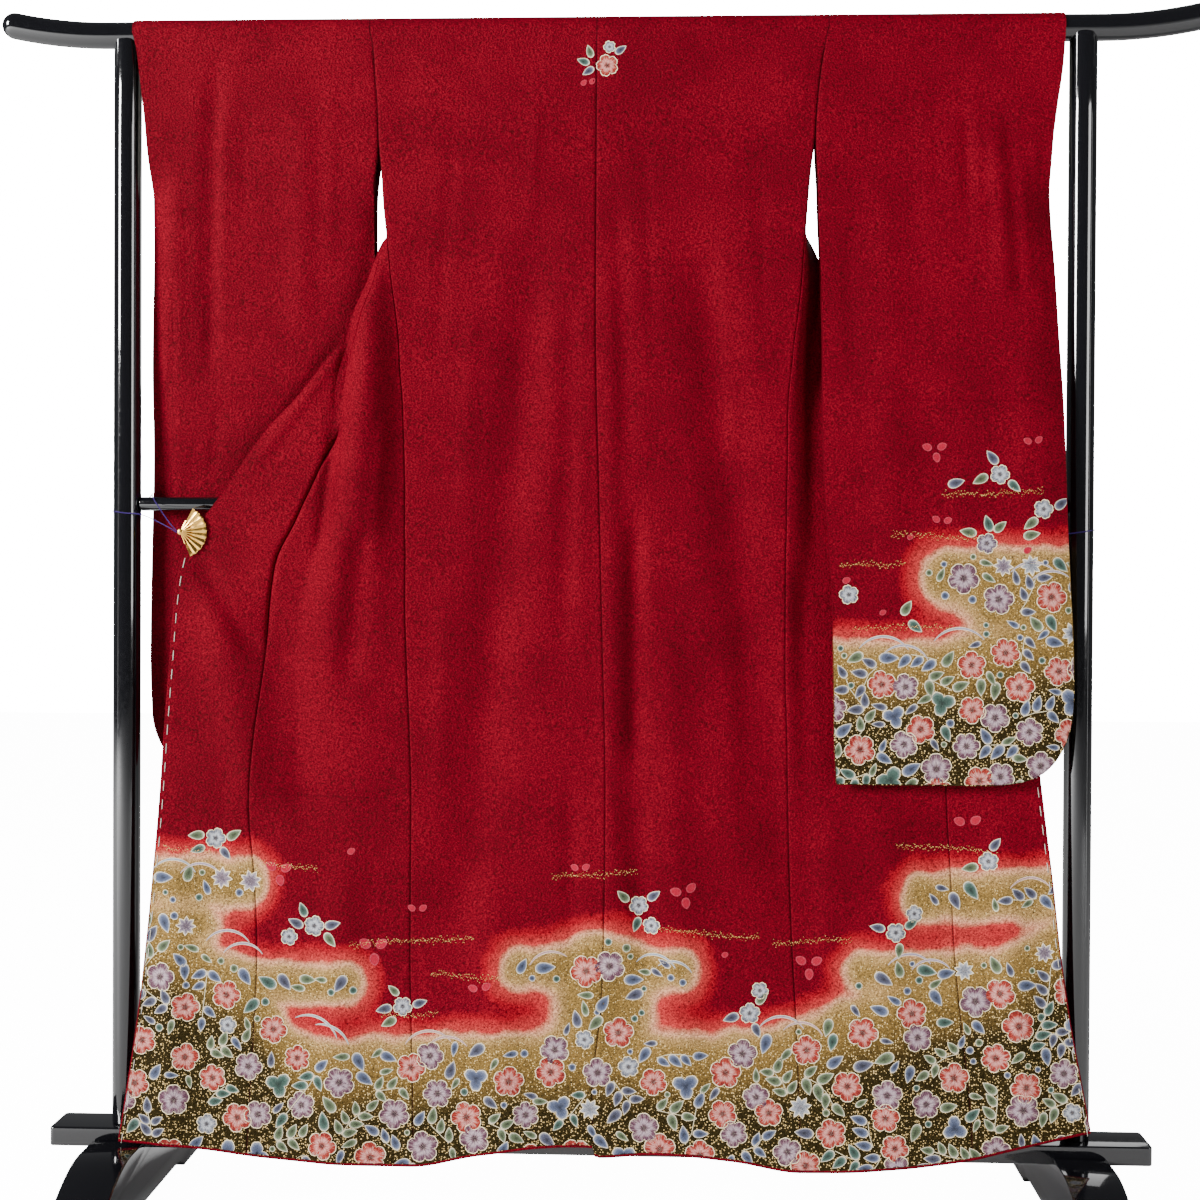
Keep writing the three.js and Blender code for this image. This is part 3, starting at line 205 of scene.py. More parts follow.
def xyz(x, y, z):
    """Three arrays as one of points."""
    return np.stack(np.broadcast_arrays(x, y, z), -1)


def read(rows, column, at, key="z"):
    """A table's column on a smooth curve through its rows."""
    at = np.asarray(at, float)
    k, v = rows[key], rows[column]
    i = np.clip(np.searchsorted(k, at, side="left") - 1, 0, len(k) - 2)
    slopes = np.diff(v) / np.diff(k)
    here = slopes[i]
    before = np.where(i > 0, slopes[np.maximum(i - 1, 0)], here)
    after = np.where(i + 2 < len(k), slopes[np.minimum(i + 1, len(slopes) - 1)], here)
    width = k[i + 1] - k[i]
    t = np.clip((at - k[i]) / width, 0, 1)
    leave = np.where(before * here > 0, (before + here) / 2, 0)
    arrive = np.where(here * after > 0, (here + after) / 2, 0)
    t2, t3 = t * t, t * t * t
    return (v[i] * (2 * t3 - 3 * t2 + 1) + leave * width * (t3 - 2 * t2 + t)
            + v[i + 1] * (3 * t2 - 2 * t3) + arrive * width * (t3 - t2))


def fold_depth(folds, x, z):
    depth = np.zeros(np.broadcast(x, z).shape)
    for fx, top, low_x, low, half, d in zip(*folds.values()):
        along = (top - z) / (top - low)
        fade = smooth(along / 0.2) * smooth((1 - along) / 0.2)
        depth = depth + d * fade * np.exp(-(((x - mix(fx, low_x, along)) / half) ** 2))
    return depth


def along_line(x, z, x0, z0, x1, z1):
    """(how far along a line a place lies, how far beside it, the line's length)"""
    length = math.hypot(x1 - x0, z1 - z0)
    ux, uz = (x1 - x0) / length, (z1 - z0) / length
    return (x - x0) * ux + (z - z0) * uz, (x - x0) * uz - (z - z0) * ux, length


def crease_depth(creases, x, z):
    depth = np.zeros(np.broadcast(x, z).shape)
    for x0, z0, x1, z1, half, d, step in zip(*creases.values()):
        along, off, length = along_line(x, z, x0, z0, x1, z1)
        along, off = along / length, off / half
        fade = smooth(along / 0.22) * smooth((1 - along) / 0.22)
        depth = depth + d * fade * (off * np.exp(-off * off) * 1.6 if step else np.exp(-off * off))
    return depth


def painted_crease_shade(creases, x, z):
    """Painted shade in a thin line along a pressed crease."""
    shade = np.zeros(np.broadcast(x, z).shape)
    for x0, z0, x1, z1, _, _, step in zip(*creases.values()):
        if step:
            along, off, length = along_line(x, z, x0, z0, x1, z1)
            along = along / length
            fade = 0.5 * smooth(along / 0.1) * smooth((1 - along) / 0.1)
            shade = shade + fade * np.exp(-((off / 2.2) ** 2))
    return shade


def ripple(x, z, phase):
    """Faint unevenness of hanging silk, long down the cloth and short across it."""
    return (0.55 * np.sin(x / 23.0 + z / 310.0 + phase) * np.sin(z / 190.0 + x / 140.0 + 2.1 * phase)
            + 0.35 * np.sin(x / 13.7 - z / 240.0 + 1.7 * phase) * np.sin(z / 120.0 + phase))


def body_relief(x, z):
    return fold_depth(FOLDS, x, z) + crease_depth(BODY_CREASES, x, z) + ripple(x, z, 0.4)


def on_hem(x, z):
    share = np.clip((HEM_SETTLE - z) / (HEM_SETTLE - HEM_ROW), 0, 1)
    return z + (read(HEM, "z", x, "x") - HEM_ROW) * share


def off_hem(x, z):
    """The row height that on_hem bends to a place's own height."""
    k = (read(HEM, "z", x, "x") - HEM_ROW) / (HEM_SETTLE - HEM_ROW)
    return np.where(z < HEM_SETTLE, (z - k * HEM_SETTLE) / (1 - k), z)


# ---- the cloth's surfaces ----

def back_y(side, x, z, s):
    y_side, y_back = read(side.front, "y_side", z), read(BACK, "y", z)
    low = mix(y_back, np.where(z < 1400, y_side, np.minimum(y_side, y_back)), smooth((s - 0.6) / 0.4))
    return low - body_relief(x, z) * smooth((RAIL_Z + 12 - z) / 60)


def front_y(side, x, z, s):
    at = lambda column: read(side.front, column, z)
    span = at("edge") - at("side")
    reach = smooth(s * np.maximum(1, np.abs(span) / SHELF)) if side.sign > 0 else s
    ridge = np.where(span > 0, (at("ridge") - at("side")) / np.where(span > 0, span, 1), 1)
    over = np.minimum(1, s / np.maximum(0.05, ridge))
    pleat = at("pleat") * np.sin(np.pi * over ** 1.4)
    hang = body_relief(x, z) * smooth((FOLDS_TOP - z) / 28)
    return mix(at("y_side"), at("y_edge"), reach) - pleat + at("loop") * np.sin(np.pi * s) - hang


def back_point(side, z, s):
    x = mix(read(BACK, "centre", z), side.sign * read(side.front, "side", z), s)
    return xyz(x, back_y(side, x, z, s), on_hem(x, z))


def front_point(side, z, s):
    x = side.sign * mix(read(side.front, "side", z), read(side.front, "edge", z), s)
    return xyz(x, front_y(side, x, z, s), on_hem(x, z))


def sleeve_point(side, z, s, layer):
    at = lambda column: read(side.sleeve, column, z)
    x = side.sign * mix(at("inner"), at("outer"), s)
    closed = 1 - smooth((z - (RAIL_Z - HAND_OPENING)) / 60)
    at_edge = 1 - np.sqrt(1 - smooth((s - 0.86) / 0.14) * closed)
    shut = np.maximum(at_edge, 1 - smooth((z - side.sleeve["z"][0]) / 30))
    gap = mix((at("rear") - at("front")) / 2, (SOLID_WALL + GAP) / 2, shut)
    soft = fold_depth(side.folds, x, z) + crease_depth(side.creases, x, z) + ripple(x, z, 1.9)
    hang = soft * (1 - shut) * smooth((RAIL_Z + 12 - z) / 60)
    return xyz(x, (at("front") + at("rear")) / 2 + layer * gap - hang, z)


def over_rail(x, angle):
    return xyz(x, -WRAP * np.cos(angle), RAIL_Z + WRAP * np.sin(angle))


def skin_y(x, z):
    """The middle of the cloth that faces the viewer, below the shoulders, at any place."""
    row = np.clip(off_hem(x, z), HEM_ROW, RAIL_Z)
    y = np.zeros(np.broadcast(x, z).shape)
    centre = read(BACK, "centre", row)
    for side in SIDES.values():
        own = (x - centre) * side.sign >= 0
        inner, outer = read(side.front, "side", row), read(side.front, "edge", row)
        out = side.sign * x
        s_back = (x - centre) / (side.sign * inner - centre)
        s_front = (out - inner) / np.where(outer > inner + 1, outer - inner, 1)
        here = np.where(out <= inner, back_y(side, x, row, np.clip(s_back, 0, 1)),
                        front_y(side, x, row, np.clip(s_front, 0, 1)))
        y = np.where(own, here, y)
    return y


def right_sleeve_y(x, z):
    side = SIDES["right"]
    inner, outer = read(side.sleeve, "inner", z), read(side.sleeve, "outer", z)
    return sleeve_point(side, z, np.clip((x - inner) / (outer - inner), 0, 1), -1)[..., 1]


# ---- the mist border: bands of dyed mist that end in round fingers ----

MIST_BASE = table("x z", [
    (-720, 470), (-620, 425), (-545, 386), (-480, 345), (-425, 268), (-300, 256), (-150, 262), (0, 272),
    (160, 268), (290, 292), (360, 322), (450, 352), (560, 385), (640, 430), (720, 470)])
MIST_FINGERS = [
    # from (x, z) to (x, z), half height
    (-720, 480, -500, 478, 29), (-500, 337, -352, 336, 22), (-106, 362, 118, 363, 22),
    (12, 345, 14, 262, 62), (378, 361, 720, 372, 22), (462, 468, 720, 478, 27),
    (-720, 424, -560, 418, 22)]
SLEEVE_BASE = table("x z", [(300, 822), (380, 818), (470, 820), (520, 832), (590, 852), (690, 872)])
SLEEVE_FINGERS = [(488, 914, 700, 918, 33), (560, 880, 700, 880, 40)]


def mist(x, z, base, fingers, wave=9.0):
    """(how far inside the mist a place lies, how far below its base line), in mm."""
    below = read(base, "z", x, "x") - z
    inside = below + 0
    for x0, z0, x1, z1, r in fingers:
        length = math.hypot(x1 - x0, z1 - z0)
        ux, uz = (x1 - x0) / length, (z1 - z0) / length
        along = np.clip((x - x0) * ux + (z - z0) * uz, 0, length)
        gap = np.hypot(x - x0 - ux * along, z - z0 - uz * along)
        here = r - gap
        # a soft union, so that fingers run into each other
        inside = np.logaddexp(inside / wave, here / wave) * wave
    return inside, below


def skirt_mist(x, z):
    return mist(x, z, MIST_BASE, MIST_FINGERS)


def sleeve_mist(x, z):
    return mist(x, z, SLEEVE_BASE, SLEEVE_FINGERS)


# ---- mesh helpers ----

def placed_in_scene(name, data):
    obj = bpy.data.objects.new(name, data)
    bpy.context.scene.collection.objects.link(obj)
    return obj


def new_object(name, verts, faces, materials, marks=None, face_materials=None, smooth_faces=True):
    """A mesh object with its place in its mesh, given in millimetres."""
    mesh = bpy.data.meshes.new(name)
    mesh.from_pydata((np.asarray(verts) * MM).tolist(), [], [list(f) for f in faces])
    for material in materials:
        mesh.materials.append(material)
    if face_materials is not None:
        mesh.polygons.foreach_set("material_index", np.asarray(face_materials, np.int32))
    for key, values in (marks or {}).items():
        values = np.asarray(values, np.float32)
        kind = "FLOAT_COLOR" if values.ndim == 2 else "FLOAT"
        attribute = mesh.attributes.new(key, kind, "POINT")
        attribute.data.foreach_set("color" if values.ndim == 2 else "value", values.ravel())
    mesh.validate()
    if smooth_faces:
        mesh.polygons.foreach_set("use_smooth", [True] * len(mesh.polygons))
    mesh.update()
    return placed_in_scene(name, mesh)


def unit(vectors):
    return vectors / np.maximum(np.linalg.norm(vectors, axis=-1, keepdims=True), 1e-9)


def grid_normals(points, keep):
    across = points[1:, 1:] - points[:-1, :-1]
    along = points[1:, :-1] - points[:-1, 1:]
    cell = unit(np.cross(across, along)) * keep[..., None]
    normals = np.zeros_like(points)
    for i in (0, 1):
        for j in (0, 1):
            normals[i:points.shape[0] - 1 + i, j:points.shape[1] - 1 + j] += cell
    return unit(normals)


def cloth_shell(name, points, thickness, outward, materials, marks=None, keep=None, pinch=None):
    """A thin closed wall round a grid of middle points. materials are the outer face's and the lining's."""
    rows, cols = points.shape[:2]
    keep = np.ones((rows - 1, cols - 1), bool) if keep is None else keep
    normals = grid_normals(points, keep)
    middle = points if pinch is None else points - normals * (outward * pinch)[..., None]
    used = np.zeros((rows, cols), bool)
    for i in (0, 1):
        for j in (0, 1):
            used[i:rows - 1 + i, j:cols - 1 + j] |= keep
    index = np.full((rows, cols), -1)
    count = int(used.sum())
    index[used] = np.arange(count)
    plus, minus = middle + normals * thickness / 2, middle - normals * thickness / 2
    verts = np.concatenate([plus[used], minus[used]])
    a, b, c, d = index[:-1, :-1][keep], index[:-1, 1:][keep], index[1:, 1:][keep], index[1:, :-1][keep]
    faces = [np.stack([a, b, c, d], 1), np.stack([d, c, b, a], 1) + count]
    kinds = [np.full(len(a), 0 if outward > 0 else 1), np.full(len(a), 1 if outward > 0 else 0)]
    padded = np.pad(keep, 1)
    rims = []
    for dr, dc, p, q in ((-1, 0, a, b), (0, 1, b, c), (1, 0, c, d), (0, -1, d, a)):
        gone = ~padded[1 + dr:rows + dr, 1 + dc:cols + dc][keep]
        rims.append(np.stack([q[gone], p[gone], p[gone] + count, q[gone] + count], 1))
    rims = np.concatenate(rims)
    faces.append(rims)
    kinds.append(np.zeros(len(rims), int))
    values = {key: np.concatenate([v[used], v[used]]) for key, v in (marks or {}).items()}
    obj = new_object(name, verts, np.concatenate(faces).tolist(), materials, values, np.concatenate(kinds))
    obj.data.set_sharp_from_angle(angle=math.radians(55))
    return obj


def skinned(rings):
    """Vertices and faces of a closed body through rings of equally many points."""
    rows, sides = rings.shape[:2]
    faces = []
    for i in range(rows - 1):
        low, high = i * sides, (i + 1) * sides
        for k in range(sides):
            after = (k + 1) % sides
            faces.append((low + k, low + after, high + after, high + k))
    faces += [tuple(reversed(range(sides))), tuple((rows - 1) * sides + k for k in range(sides))]
    return rings.reshape(-1, 3), faces


def lathe(profile, turns=48):
    """Vertices and faces of a closed round body: profile is (height, radius) from end to end."""
    angles = [2 * math.pi * k / turns for k in range(turns)]
    return skinned(np.array([[(r * math.cos(a), r * math.sin(a), h) for a in angles] for h, r in profile]))


def tube(path, radius, sides=10):
    """Vertices and faces of a tube along points; radius may be one number or one a point."""
    path = np.asarray(path, float)
    radius = np.broadcast_to(np.asarray(radius, float), (len(path),))
    tangent = unit(np.gradient(path, axis=0))
    normal = unit(np.cross(tangent[0], (0.0, 0.0, 1.0) if abs(tangent[0][2]) < 0.9 else (1.0, 0.0, 0.0)))
    rings = []
    for point, run, r in zip(path, tangent, radius):
        normal = unit(normal - run * np.dot(normal, run))
        other = np.cross(run, normal)
        angles = [2 * math.pi * k / sides for k in range(sides)]
        rings.append([point + r * (normal * math.cos(a) + other * math.sin(a)) for a in angles])
    return skinned(np.array(rings))


def remeshed(obj, bevel=0.0):
    """Turns an object's faces outward and rounds its sharp edges by bevel, in millimetres."""
    bm = bmesh.new()
    bm.from_mesh(obj.data)
    bmesh.ops.recalc_face_normals(bm, faces=bm.faces)
    if bevel:
        edges = [e for e in bm.edges if len(e.link_faces) == 2 and e.calc_face_angle(0) > math.radians(38)]
        bmesh.ops.bevel(bm, geom=edges, offset=bevel * MM, segments=3, profile=0.5, affect="EDGES")
    bm.to_mesh(obj.data)
    bm.free()
    obj.data.polygons.foreach_set("use_smooth", [True] * len(obj.data.polygons))
    return obj


def joined(parts):
    """Several (vertices, faces) as one."""
    verts, faces, start = [], [], 0
    for v, f in parts:
        verts.append(v)
        faces += [tuple(start + i for i in face) for face in f]
        start += len(v)
    return np.concatenate(verts), faces


def settle(obj, sharp=None, replaces=()):
    """Gives a finished piece its ride and the solids that it stands for."""
    if sharp is not None:
        obj.data.set_sharp_from_angle(angle=math.radians(sharp))
    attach(obj, "root")
    if replaces:
        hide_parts(*replaces)
    return obj


def grown(obj, tree, inputs):
    """Runs a geometry tree with named inputs on an object and keeps its plain mesh."""
    modifier = obj.modifiers.new(tree.name, "NODES")
    modifier.node_group = tree
    for socket in tree.interface.items_tree:
        if socket.in_out == "INPUT" and socket.name in inputs:
            modifier[socket.identifier] = inputs[socket.name]
    graph = bpy.context.evaluated_depsgraph_get()
    graph.update()
    mesh = bpy.data.meshes.new_from_object(obj.evaluated_get(graph), depsgraph=graph)
    obj.modifiers.remove(modifier)
    old, obj.data = obj.data, mesh
    bpy.data.meshes.remove(old)
    mesh.name = obj.name
    return obj


def wire(name, paths):
    """Open polylines in millimetres as an object of edges."""
    verts, edges = [], []
    for path in paths:
        start = len(verts)
        verts += [tuple(p) for p in path]
        edges += [(start + i, start + i + 1) for i in range(len(path) - 1)]
    mesh = bpy.data.meshes.new(name)
    mesh.from_pydata((np.array(verts) * MM).tolist(), edges, [])
    return placed_in_scene(name, mesh)


# ---- node trees ----

class Tree:
    """A node tree, with a short call for each node that this script uses often."""

    def __init__(self, tree, inputs=(), outputs=()):
        self.tree = tree
        for way, sockets in (("INPUT", inputs), ("OUTPUT", outputs)):
            for label, kind, *default in sockets:
                socket = tree.interface.new_socket(label, in_out=way, socket_type="NodeSocket" + kind)
                if default:
                    socket.default_value = default[0]
        if inputs:
            self.enter = self.add("NodeGroupInput").outputs
            self.leave = self.add("NodeGroupOutput").inputs

    def feed(self, socket, value):
        """Links another node's output to a socket, or sets its value."""
        if hasattr(value, "is_output"):
            self.tree.links.new(value, socket)
        else:
            socket.default_value = value

    def add(self, kind, links=None, **settings):
        node = self.tree.nodes.new(kind)
        for key, value in settings.items():
            setattr(node, key, value)
        for key, value in (links or {}).items():
            self.feed(node.inputs[key], value)
        return node

    def maths(self, operation, *values):
        return self.add("ShaderNodeMath", dict(enumerate(values)), operation=operation).outputs[0]

    def noise(self, place, scale, detail, **more):
        links = {"Vector": place, "Scale": scale, "Detail": detail, **more}
        return self.add("ShaderNodeTexNoise", links).outputs[0]

    def mark(self, name, output="Fac"):
        return self.add("ShaderNodeAttribute", attribute_name=name).outputs[output]

    def mixed(self, factor, a, b, blend="MIX"):
        links = {0: factor, 6: a, 7: b}
        return self.add("ShaderNodeMix", links, data_type="RGBA", blend_type=blend).outputs[2]

    def ranged(self, value, low, high, to_low=0.0, to_high=1.0, kind="SMOOTHSTEP"):
        links = {0: value, 1: low, 2: high, 3: to_low, 4: to_high}
        return self.add("ShaderNodeMapRange", links, interpolation_type=kind).outputs[0]


class Shape(Tree):
    """A geometry tree that works along the polylines of its object."""

    def __init__(self, name, *inputs):
        mesh = ("Geometry", "Geometry")
        super().__init__(bpy.data.node_groups.new(name, "GeometryNodeTree"), [mesh, *inputs], [mesh])
        self.line = self.step("MeshToCurve", {"Mesh": self.enter["Geometry"]})

    def step(self, kind, links, **settings):
        return self.add("GeometryNode" + kind, links, **settings).outputs[0]

    def dots(self, pitch):
        links = {"Curve": self.line, "Length": pitch}
        return self.add("GeometryNodeCurveToPoints", links, mode="LENGTH").outputs

    def chance(self, low, high, seed, kind="FLOAT"):
        """A random value a point."""
        first, out = (0, 0) if kind == "FLOAT_VECTOR" else (2, 1)
        links = {first: low, first + 1: high, "Seed": seed}
        return self.add("FunctionNodeRandomValue", links, data_type=kind).outputs[out]

    def done(self, geometry, material, soft=True):
        real = self.step("RealizeInstances", {"Geometry": geometry})
        if soft:
            real = self.step("SetShadeSmooth", {"Geometry": real})
        self.feed(self.leave[0], self.step("SetMaterial", {"Geometry": real, "Material": material}))
        return self.tree


def roll_tree(material):
    """A round roll along each polyline."""
    tree = Shape("Rolled edge", ("Radius", "Float", 0.002), ("Sides", "Int", 10))
    enter = tree.enter
    ring = tree.step("CurvePrimitiveCircle", {"Resolution": enter["Sides"], "Radius": enter["Radius"]})
    roll = tree.step("CurveToMesh", {"Curve": tree.line, "Profile Curve": ring, "Fill Caps": True})
    return tree.done(roll, material)


def stitch_tree(material):
    """Running stitches along each polyline: short rods, one a pitch."""
    tree = Shape("Running stitch", ("Pitch", "Float", 0.026), ("Length", "Float", 0.014),
                 ("Radius", "Float", 0.0005))
    enter = tree.enter
    points = tree.dots(enter["Pitch"])
    stitch = tree.step("MeshCylinder", {"Vertices": 6, "Radius": enter["Radius"], "Depth": enter["Length"]})
    turn = tree.add("FunctionNodeAlignRotationToVector", {"Vector": points["Tangent"]}).outputs[0]
    placed = tree.step("InstanceOnPoints", {"Points": points[0], "Instance": stitch, "Rotation": turn})
    return tree.done(placed, material)


def fleck_tree(material):
    """Gold-leaf flecks strewn along each polyline, denser in the middle of its band."""
    tree = Shape("Gold flecks", ("Spacing", "Float", 0.00095), ("Spread", "Float", 0.0072),
                 ("Fleck", "Float", 0.00062), ("Seed", "Int", 3))
    points = tree.dots(tree.enter["Spacing"])
    part = tree.maths("MULTIPLY", tree.chance(-1.0, 1.0, tree.enter["Seed"]), tree.chance(0.1, 1.0, 29))
    aside = tree.maths("MULTIPLY", part, tree.enter["Spread"])
    move = tree.add("ShaderNodeCombineXYZ", {"Z": aside}).outputs[0]
    moved = tree.step("SetPosition", {"Geometry": points[0], "Offset": move})
    leaf = tree.step("MeshCircle", {"Vertices": 6, "Radius": tree.enter["Fleck"]}, fill_type="NGON")
    turn = tree.chance((1.45, -0.12, -0.12), (1.69, 0.12, 0.12), 5, "FLOAT_VECTOR")
    placed = tree.step("InstanceOnPoints", {"Points": moved, "Instance": leaf, "Rotation": turn,
                                            "Scale": tree.chance(0.45, 1.25, 11)})
    return tree.done(placed, material, False)


# ---- finishes ----

def linear(r, g, b):
    """An 8-bit screen colour as a linear one."""
    def one(v):
        v /= 255
        return v / 12.92 if v <= 0.04045 else ((v + 0.055) / 1.055) ** 2.4
    return one(r), one(g), one(b), 1.0


def shader_group(name, inputs, outputs):
    """A shader node group that reads a place and the given numbers."""
    tree = bpy.data.node_groups.new(name, "ShaderNodeTree")
    return Tree(tree, [("Vector", "Vector", (0, 0, 0)), *inputs], [(label, "Float") for label in outputs])


def crepe_group():
    """Crepe silk: a pebbled grain of crossed, twisted threads, and the slow clouds of its dye."""
    group = shader_group("Crepe grain", [("Grain", "Float", 330.0), ("Contrast", "Float", 0.25)],
                         ("Tone", "Height", "Cloud"))
    place = group.enter["Vector"]
    links = {0: place, 1: (1.0, 1.0, 1.35)}
    squashed = group.add("ShaderNodeVectorMath", links, operation="MULTIPLY").outputs[0]
    pebbles = group.noise(squashed, group.enter["Grain"], 2.5, Roughness=0.62, Distortion=0.3)
    centred = group.maths("SUBTRACT", pebbles, 0.5)
    # Tone is lighter on the raised pebbles and darker between them: partly the silk's own unevenness,
    # partly painted highlight and shade on the grain.
    group.feed(group.leave["Tone"], group.maths("MULTIPLY_ADD", centred, group.enter["Contrast"], 1.0))
    group.feed(group.leave["Height"], group.maths("MULTIPLY_ADD", centred, 5.0, 0.0))
    group.feed(group.leave["Cloud"], group.noise(place, 9.0, 3.0))


def dust_group():
    """Strewn gold dust: a mask of small uneven spots."""
    group = shader_group("Gold dust", [("Cells", "Float", 330.0), ("Amount", "Float", 0.3)], ["Mask"])
    links = {"Vector": group.enter["Vector"], "Scale": group.enter["Cells"], "Randomness": 1.0}
    cells = group.add("ShaderNodeTexVoronoi", links).outputs
    pick = group.add("ShaderNodeSeparateColor", {0: cells["Color"]}).outputs[0]
    reach = group.maths("ADD", group.maths("MULTIPLY", pick, 0.3), group.enter["Amount"])
    near = group.maths("SUBTRACT", reach, cells["Distance"])
    group.feed(group.leave["Mask"], group.ranged(near, 0.1, 0.16, kind="LINEAR"))


class Finish(Tree):
    """A material with one Principled shader, fed from the object's own coordinates."""

    def __init__(self, name):
        self.material = bpy.data.materials.new(name)
        self.material.use_nodes = True
        super().__init__(self.material.node_tree)
        self.tree.nodes.clear()
        self.shader = self.add("ShaderNodeBsdfPrincipled")
        self.add("ShaderNodeOutputMaterial", {"Surface": self.shader.outputs[0]})
        self.place = self.add("ShaderNodeTexCoord").outputs["Object"]

    def dress(self, values):
        for key, value in values.items():
            self.feed(self.shader.inputs[key], value)

    def group(self, name, **values):
        node = self.add("ShaderNodeGroup", node_tree=bpy.data.node_groups[name])
        for key, value in {"Vector": self.place, **values}.items():
            self.feed(node.inputs[key], value)
        return node.outputs

    def bump(self, height, distance, strength=1.0):
        links = {"Height": height, "Distance": distance, "Strength": strength}
        self.dress({"Normal": self.add("ShaderNodeBump", links).outputs[0]})

    def toned(self, colour):
        """A colour with the crepe's grain on it, lighter on the raised pebbles: partly the silk's own
        unevenness, partly painted highlight and shade.
        """
        tone = self.grain["Tone"]
        grey = self.add("ShaderNodeCombineColor", {0: tone, 1: tone, 2: tone}).outputs[0]
        return self.mixed(1.0, colour, grey, "MULTIPLY")

    def red(self, dye):
        """The red ground: deeper and lighter in slow clouds."""
        return self.mixed(self.ranged(self.grain["Cloud"], 0.3, 0.7), tuple(dye.red), tuple(dye.red_light))


def silk(name, roughness=0.62, sheen=0.0, contrast=None, bump=0.0006):
    """A finish for cloth or thread, with the grain of crepe where a contrast is given."""
    finish = Finish(name)
    finish.dress({"Roughness": roughness, "Specular IOR Level": 0.03, "Sheen Weight": sheen,
                  "Sheen Roughness": 0.45})
    if contrast is not None:
        finish.grain = finish.group("Crepe grain", Contrast=contrast)
        finish.bump(finish.grain["Height"], bump)
    return finish


def dyed_crepe(dye):
    """Red crepe dyed through a pale halo and gold to dark olive inside the mist, with painted shadow along
    its seams and pressed creases.
    """
    silky = silk("dyed_crepe", contrast=3.2)
    drift = silky.noise(silky.place, 26.0, 3.0)
    edge = silky.maths("MULTIPLY_ADD", drift, 0.022, silky.mark("mist"))
    deep = silky.maths("MULTIPLY_ADD", drift, 0.04, silky.mark("below"))
    ramp = silky.add("ShaderNodeValToRGB", {0: silky.ranged(edge, -0.03, 0.06, kind="LINEAR")})
    elements = ramp.color_ramp.elements
    elements[0].color, elements[1].color = dye.red_light, dye.gold
    for position, *colour in (
            (0.14, 0.24, 0.003, 0.01), (0.31, 0.36, 0.03, 0.028), (0.39, 0.52, 0.25, 0.14),
            (0.47, 0.32, 0.19, 0.07), (0.62, 0.2, 0.12, 0.034)):
        elements.new(position).color = (*colour, 1)
    halo = silky.mixed(silky.ranged(edge, -0.034, -0.018), silky.red(dye), ramp.outputs[0])
    dark = silky.mixed(silky.ranged(deep, 0.055, 0.135), halo, tuple(dye.olive))
    dust = silky.group("Gold dust", Amount=silky.ranged(deep, -0.04, 0.13, 0.15, 0.24))
    dusting = silky.maths("MULTIPLY", dust[0], silky.ranged(edge, 0.0, 0.02))
    gilt = silky.mixed(dusting, silky.toned(dark), (0.6, 0.42, 0.17, 1))
    # Painted shadow: near black along the seams and pressed creases, from the seam mark.
    sewn = silky.mixed(silky.ranged(silky.mark("seam"), 0.15, 1.0, 0.0, 0.8), gilt, (0.02, 0.0, 0.002, 1))
    silky.dress({"Base Color": sewn, "Roughness": silky.ranged(dusting, 0.0, 1.0, 0.62, 0.36)})


def red_crepe(dye):
    silky = silk("red_crepe", contrast=3.2)
    silky.dress({"Base Color": silky.toned(silky.red(dye))})


def lining_silk(dye):
    """Plain-woven lining: off-white above, red below a seam and where a sleeve faces the seam."""
    silky = silk("lining_silk", 0.5, 0.1, 0.25, 0.00008)
    height = silky.add("ShaderNodeSeparateXYZ", {0: silky.place}).outputs[2]
    plain = silky.mixed(silky.ranged(height, 0.742, 0.744), tuple(dye.red), tuple(dye.lining))
    silky.dress({"Base Color": silky.toned(silky.mixed(silky.mark("facing"), plain, tuple(dye.red)))})


def motif_dye():
    """Hand-painted motifs: colour from the motif, streaks across it, a pale resist line round it."""
    silky = silk("painted_motif", 0.6, 0.0, 0.9, 0.0002)
    rim, streak = silky.mark("rim"), silky.mark("streak")
    links = {0: silky.mark("turn"), 1: silky.maths("MULTIPLY", rim, 1.6)}
    spread = silky.add("ShaderNodeCombineXYZ", links).outputs[0]
    rays = silky.noise(spread, 1.15, 4.0, Roughness=0.75)
    pale = silky.maths("MULTIPLY", silky.ranged(rays, 0.5, 0.64, 0.0, 0.46), streak)
    dim = silky.maths("MULTIPLY", silky.ranged(rays, 0.49, 0.38, 0.0, 0.75), streak)
    outline = silky.maths("MULTIPLY", silky.ranged(rim, 1.0, 1.12), silky.mark("line"))
    colour = silky.mark("dye", "Color")
    for amount, tone in ((pale, (206, 188, 176)), (dim, (52, 26, 34)), (outline, (226, 208, 170))):
        colour = silky.mixed(amount, colour, linear(*tone))
    silky.dress({"Base Color": silky.toned(colour)})


def lacquer(stand):
    """Black lacquer: deep gloss with the faint waviness of a hand-rubbed coat and a little dust."""
    coat = Finish("black_lacquer")
    dust = coat.noise(coat.place, 240.0, 4.0, Roughness=0.7)
    colour = coat.mixed(coat.ranged(dust, 0.6, 0.9, 0.0, 0.06), tuple(stand.lacquer), linear(120, 118, 122))
    coat.dress({"Base Color": colour, "Roughness": coat.ranged(dust, 0.4, 0.75, 0.07, 0.16),
                "Coat Weight": 0.6, "Coat Roughness": 0.04})
    coat.bump(coat.noise(coat.place, 14.0, 2.0), 0.0004, 0.25)


def plated_gold(stand):
    """Gold plate with fine drawn lines and dulled hollows."""
    plate = Finish("gold_plate")
    dull = plate.noise(plate.place, 60.0, 3.0)
    colour = plate.mixed(plate.ranged(dull, 0.4, 0.75, 0.0, 0.45), tuple(stand.gold), linear(150, 104, 44))
    rough = plate.ranged(dull, 0.35, 0.7, 0.2, 0.42)
    plate.dress({"Base Color": colour, "Roughness": rough, "Metallic": 1.0})
    plate.bump(plate.noise(plate.place, 900.0, 2.0), 0.00005, 0.5)


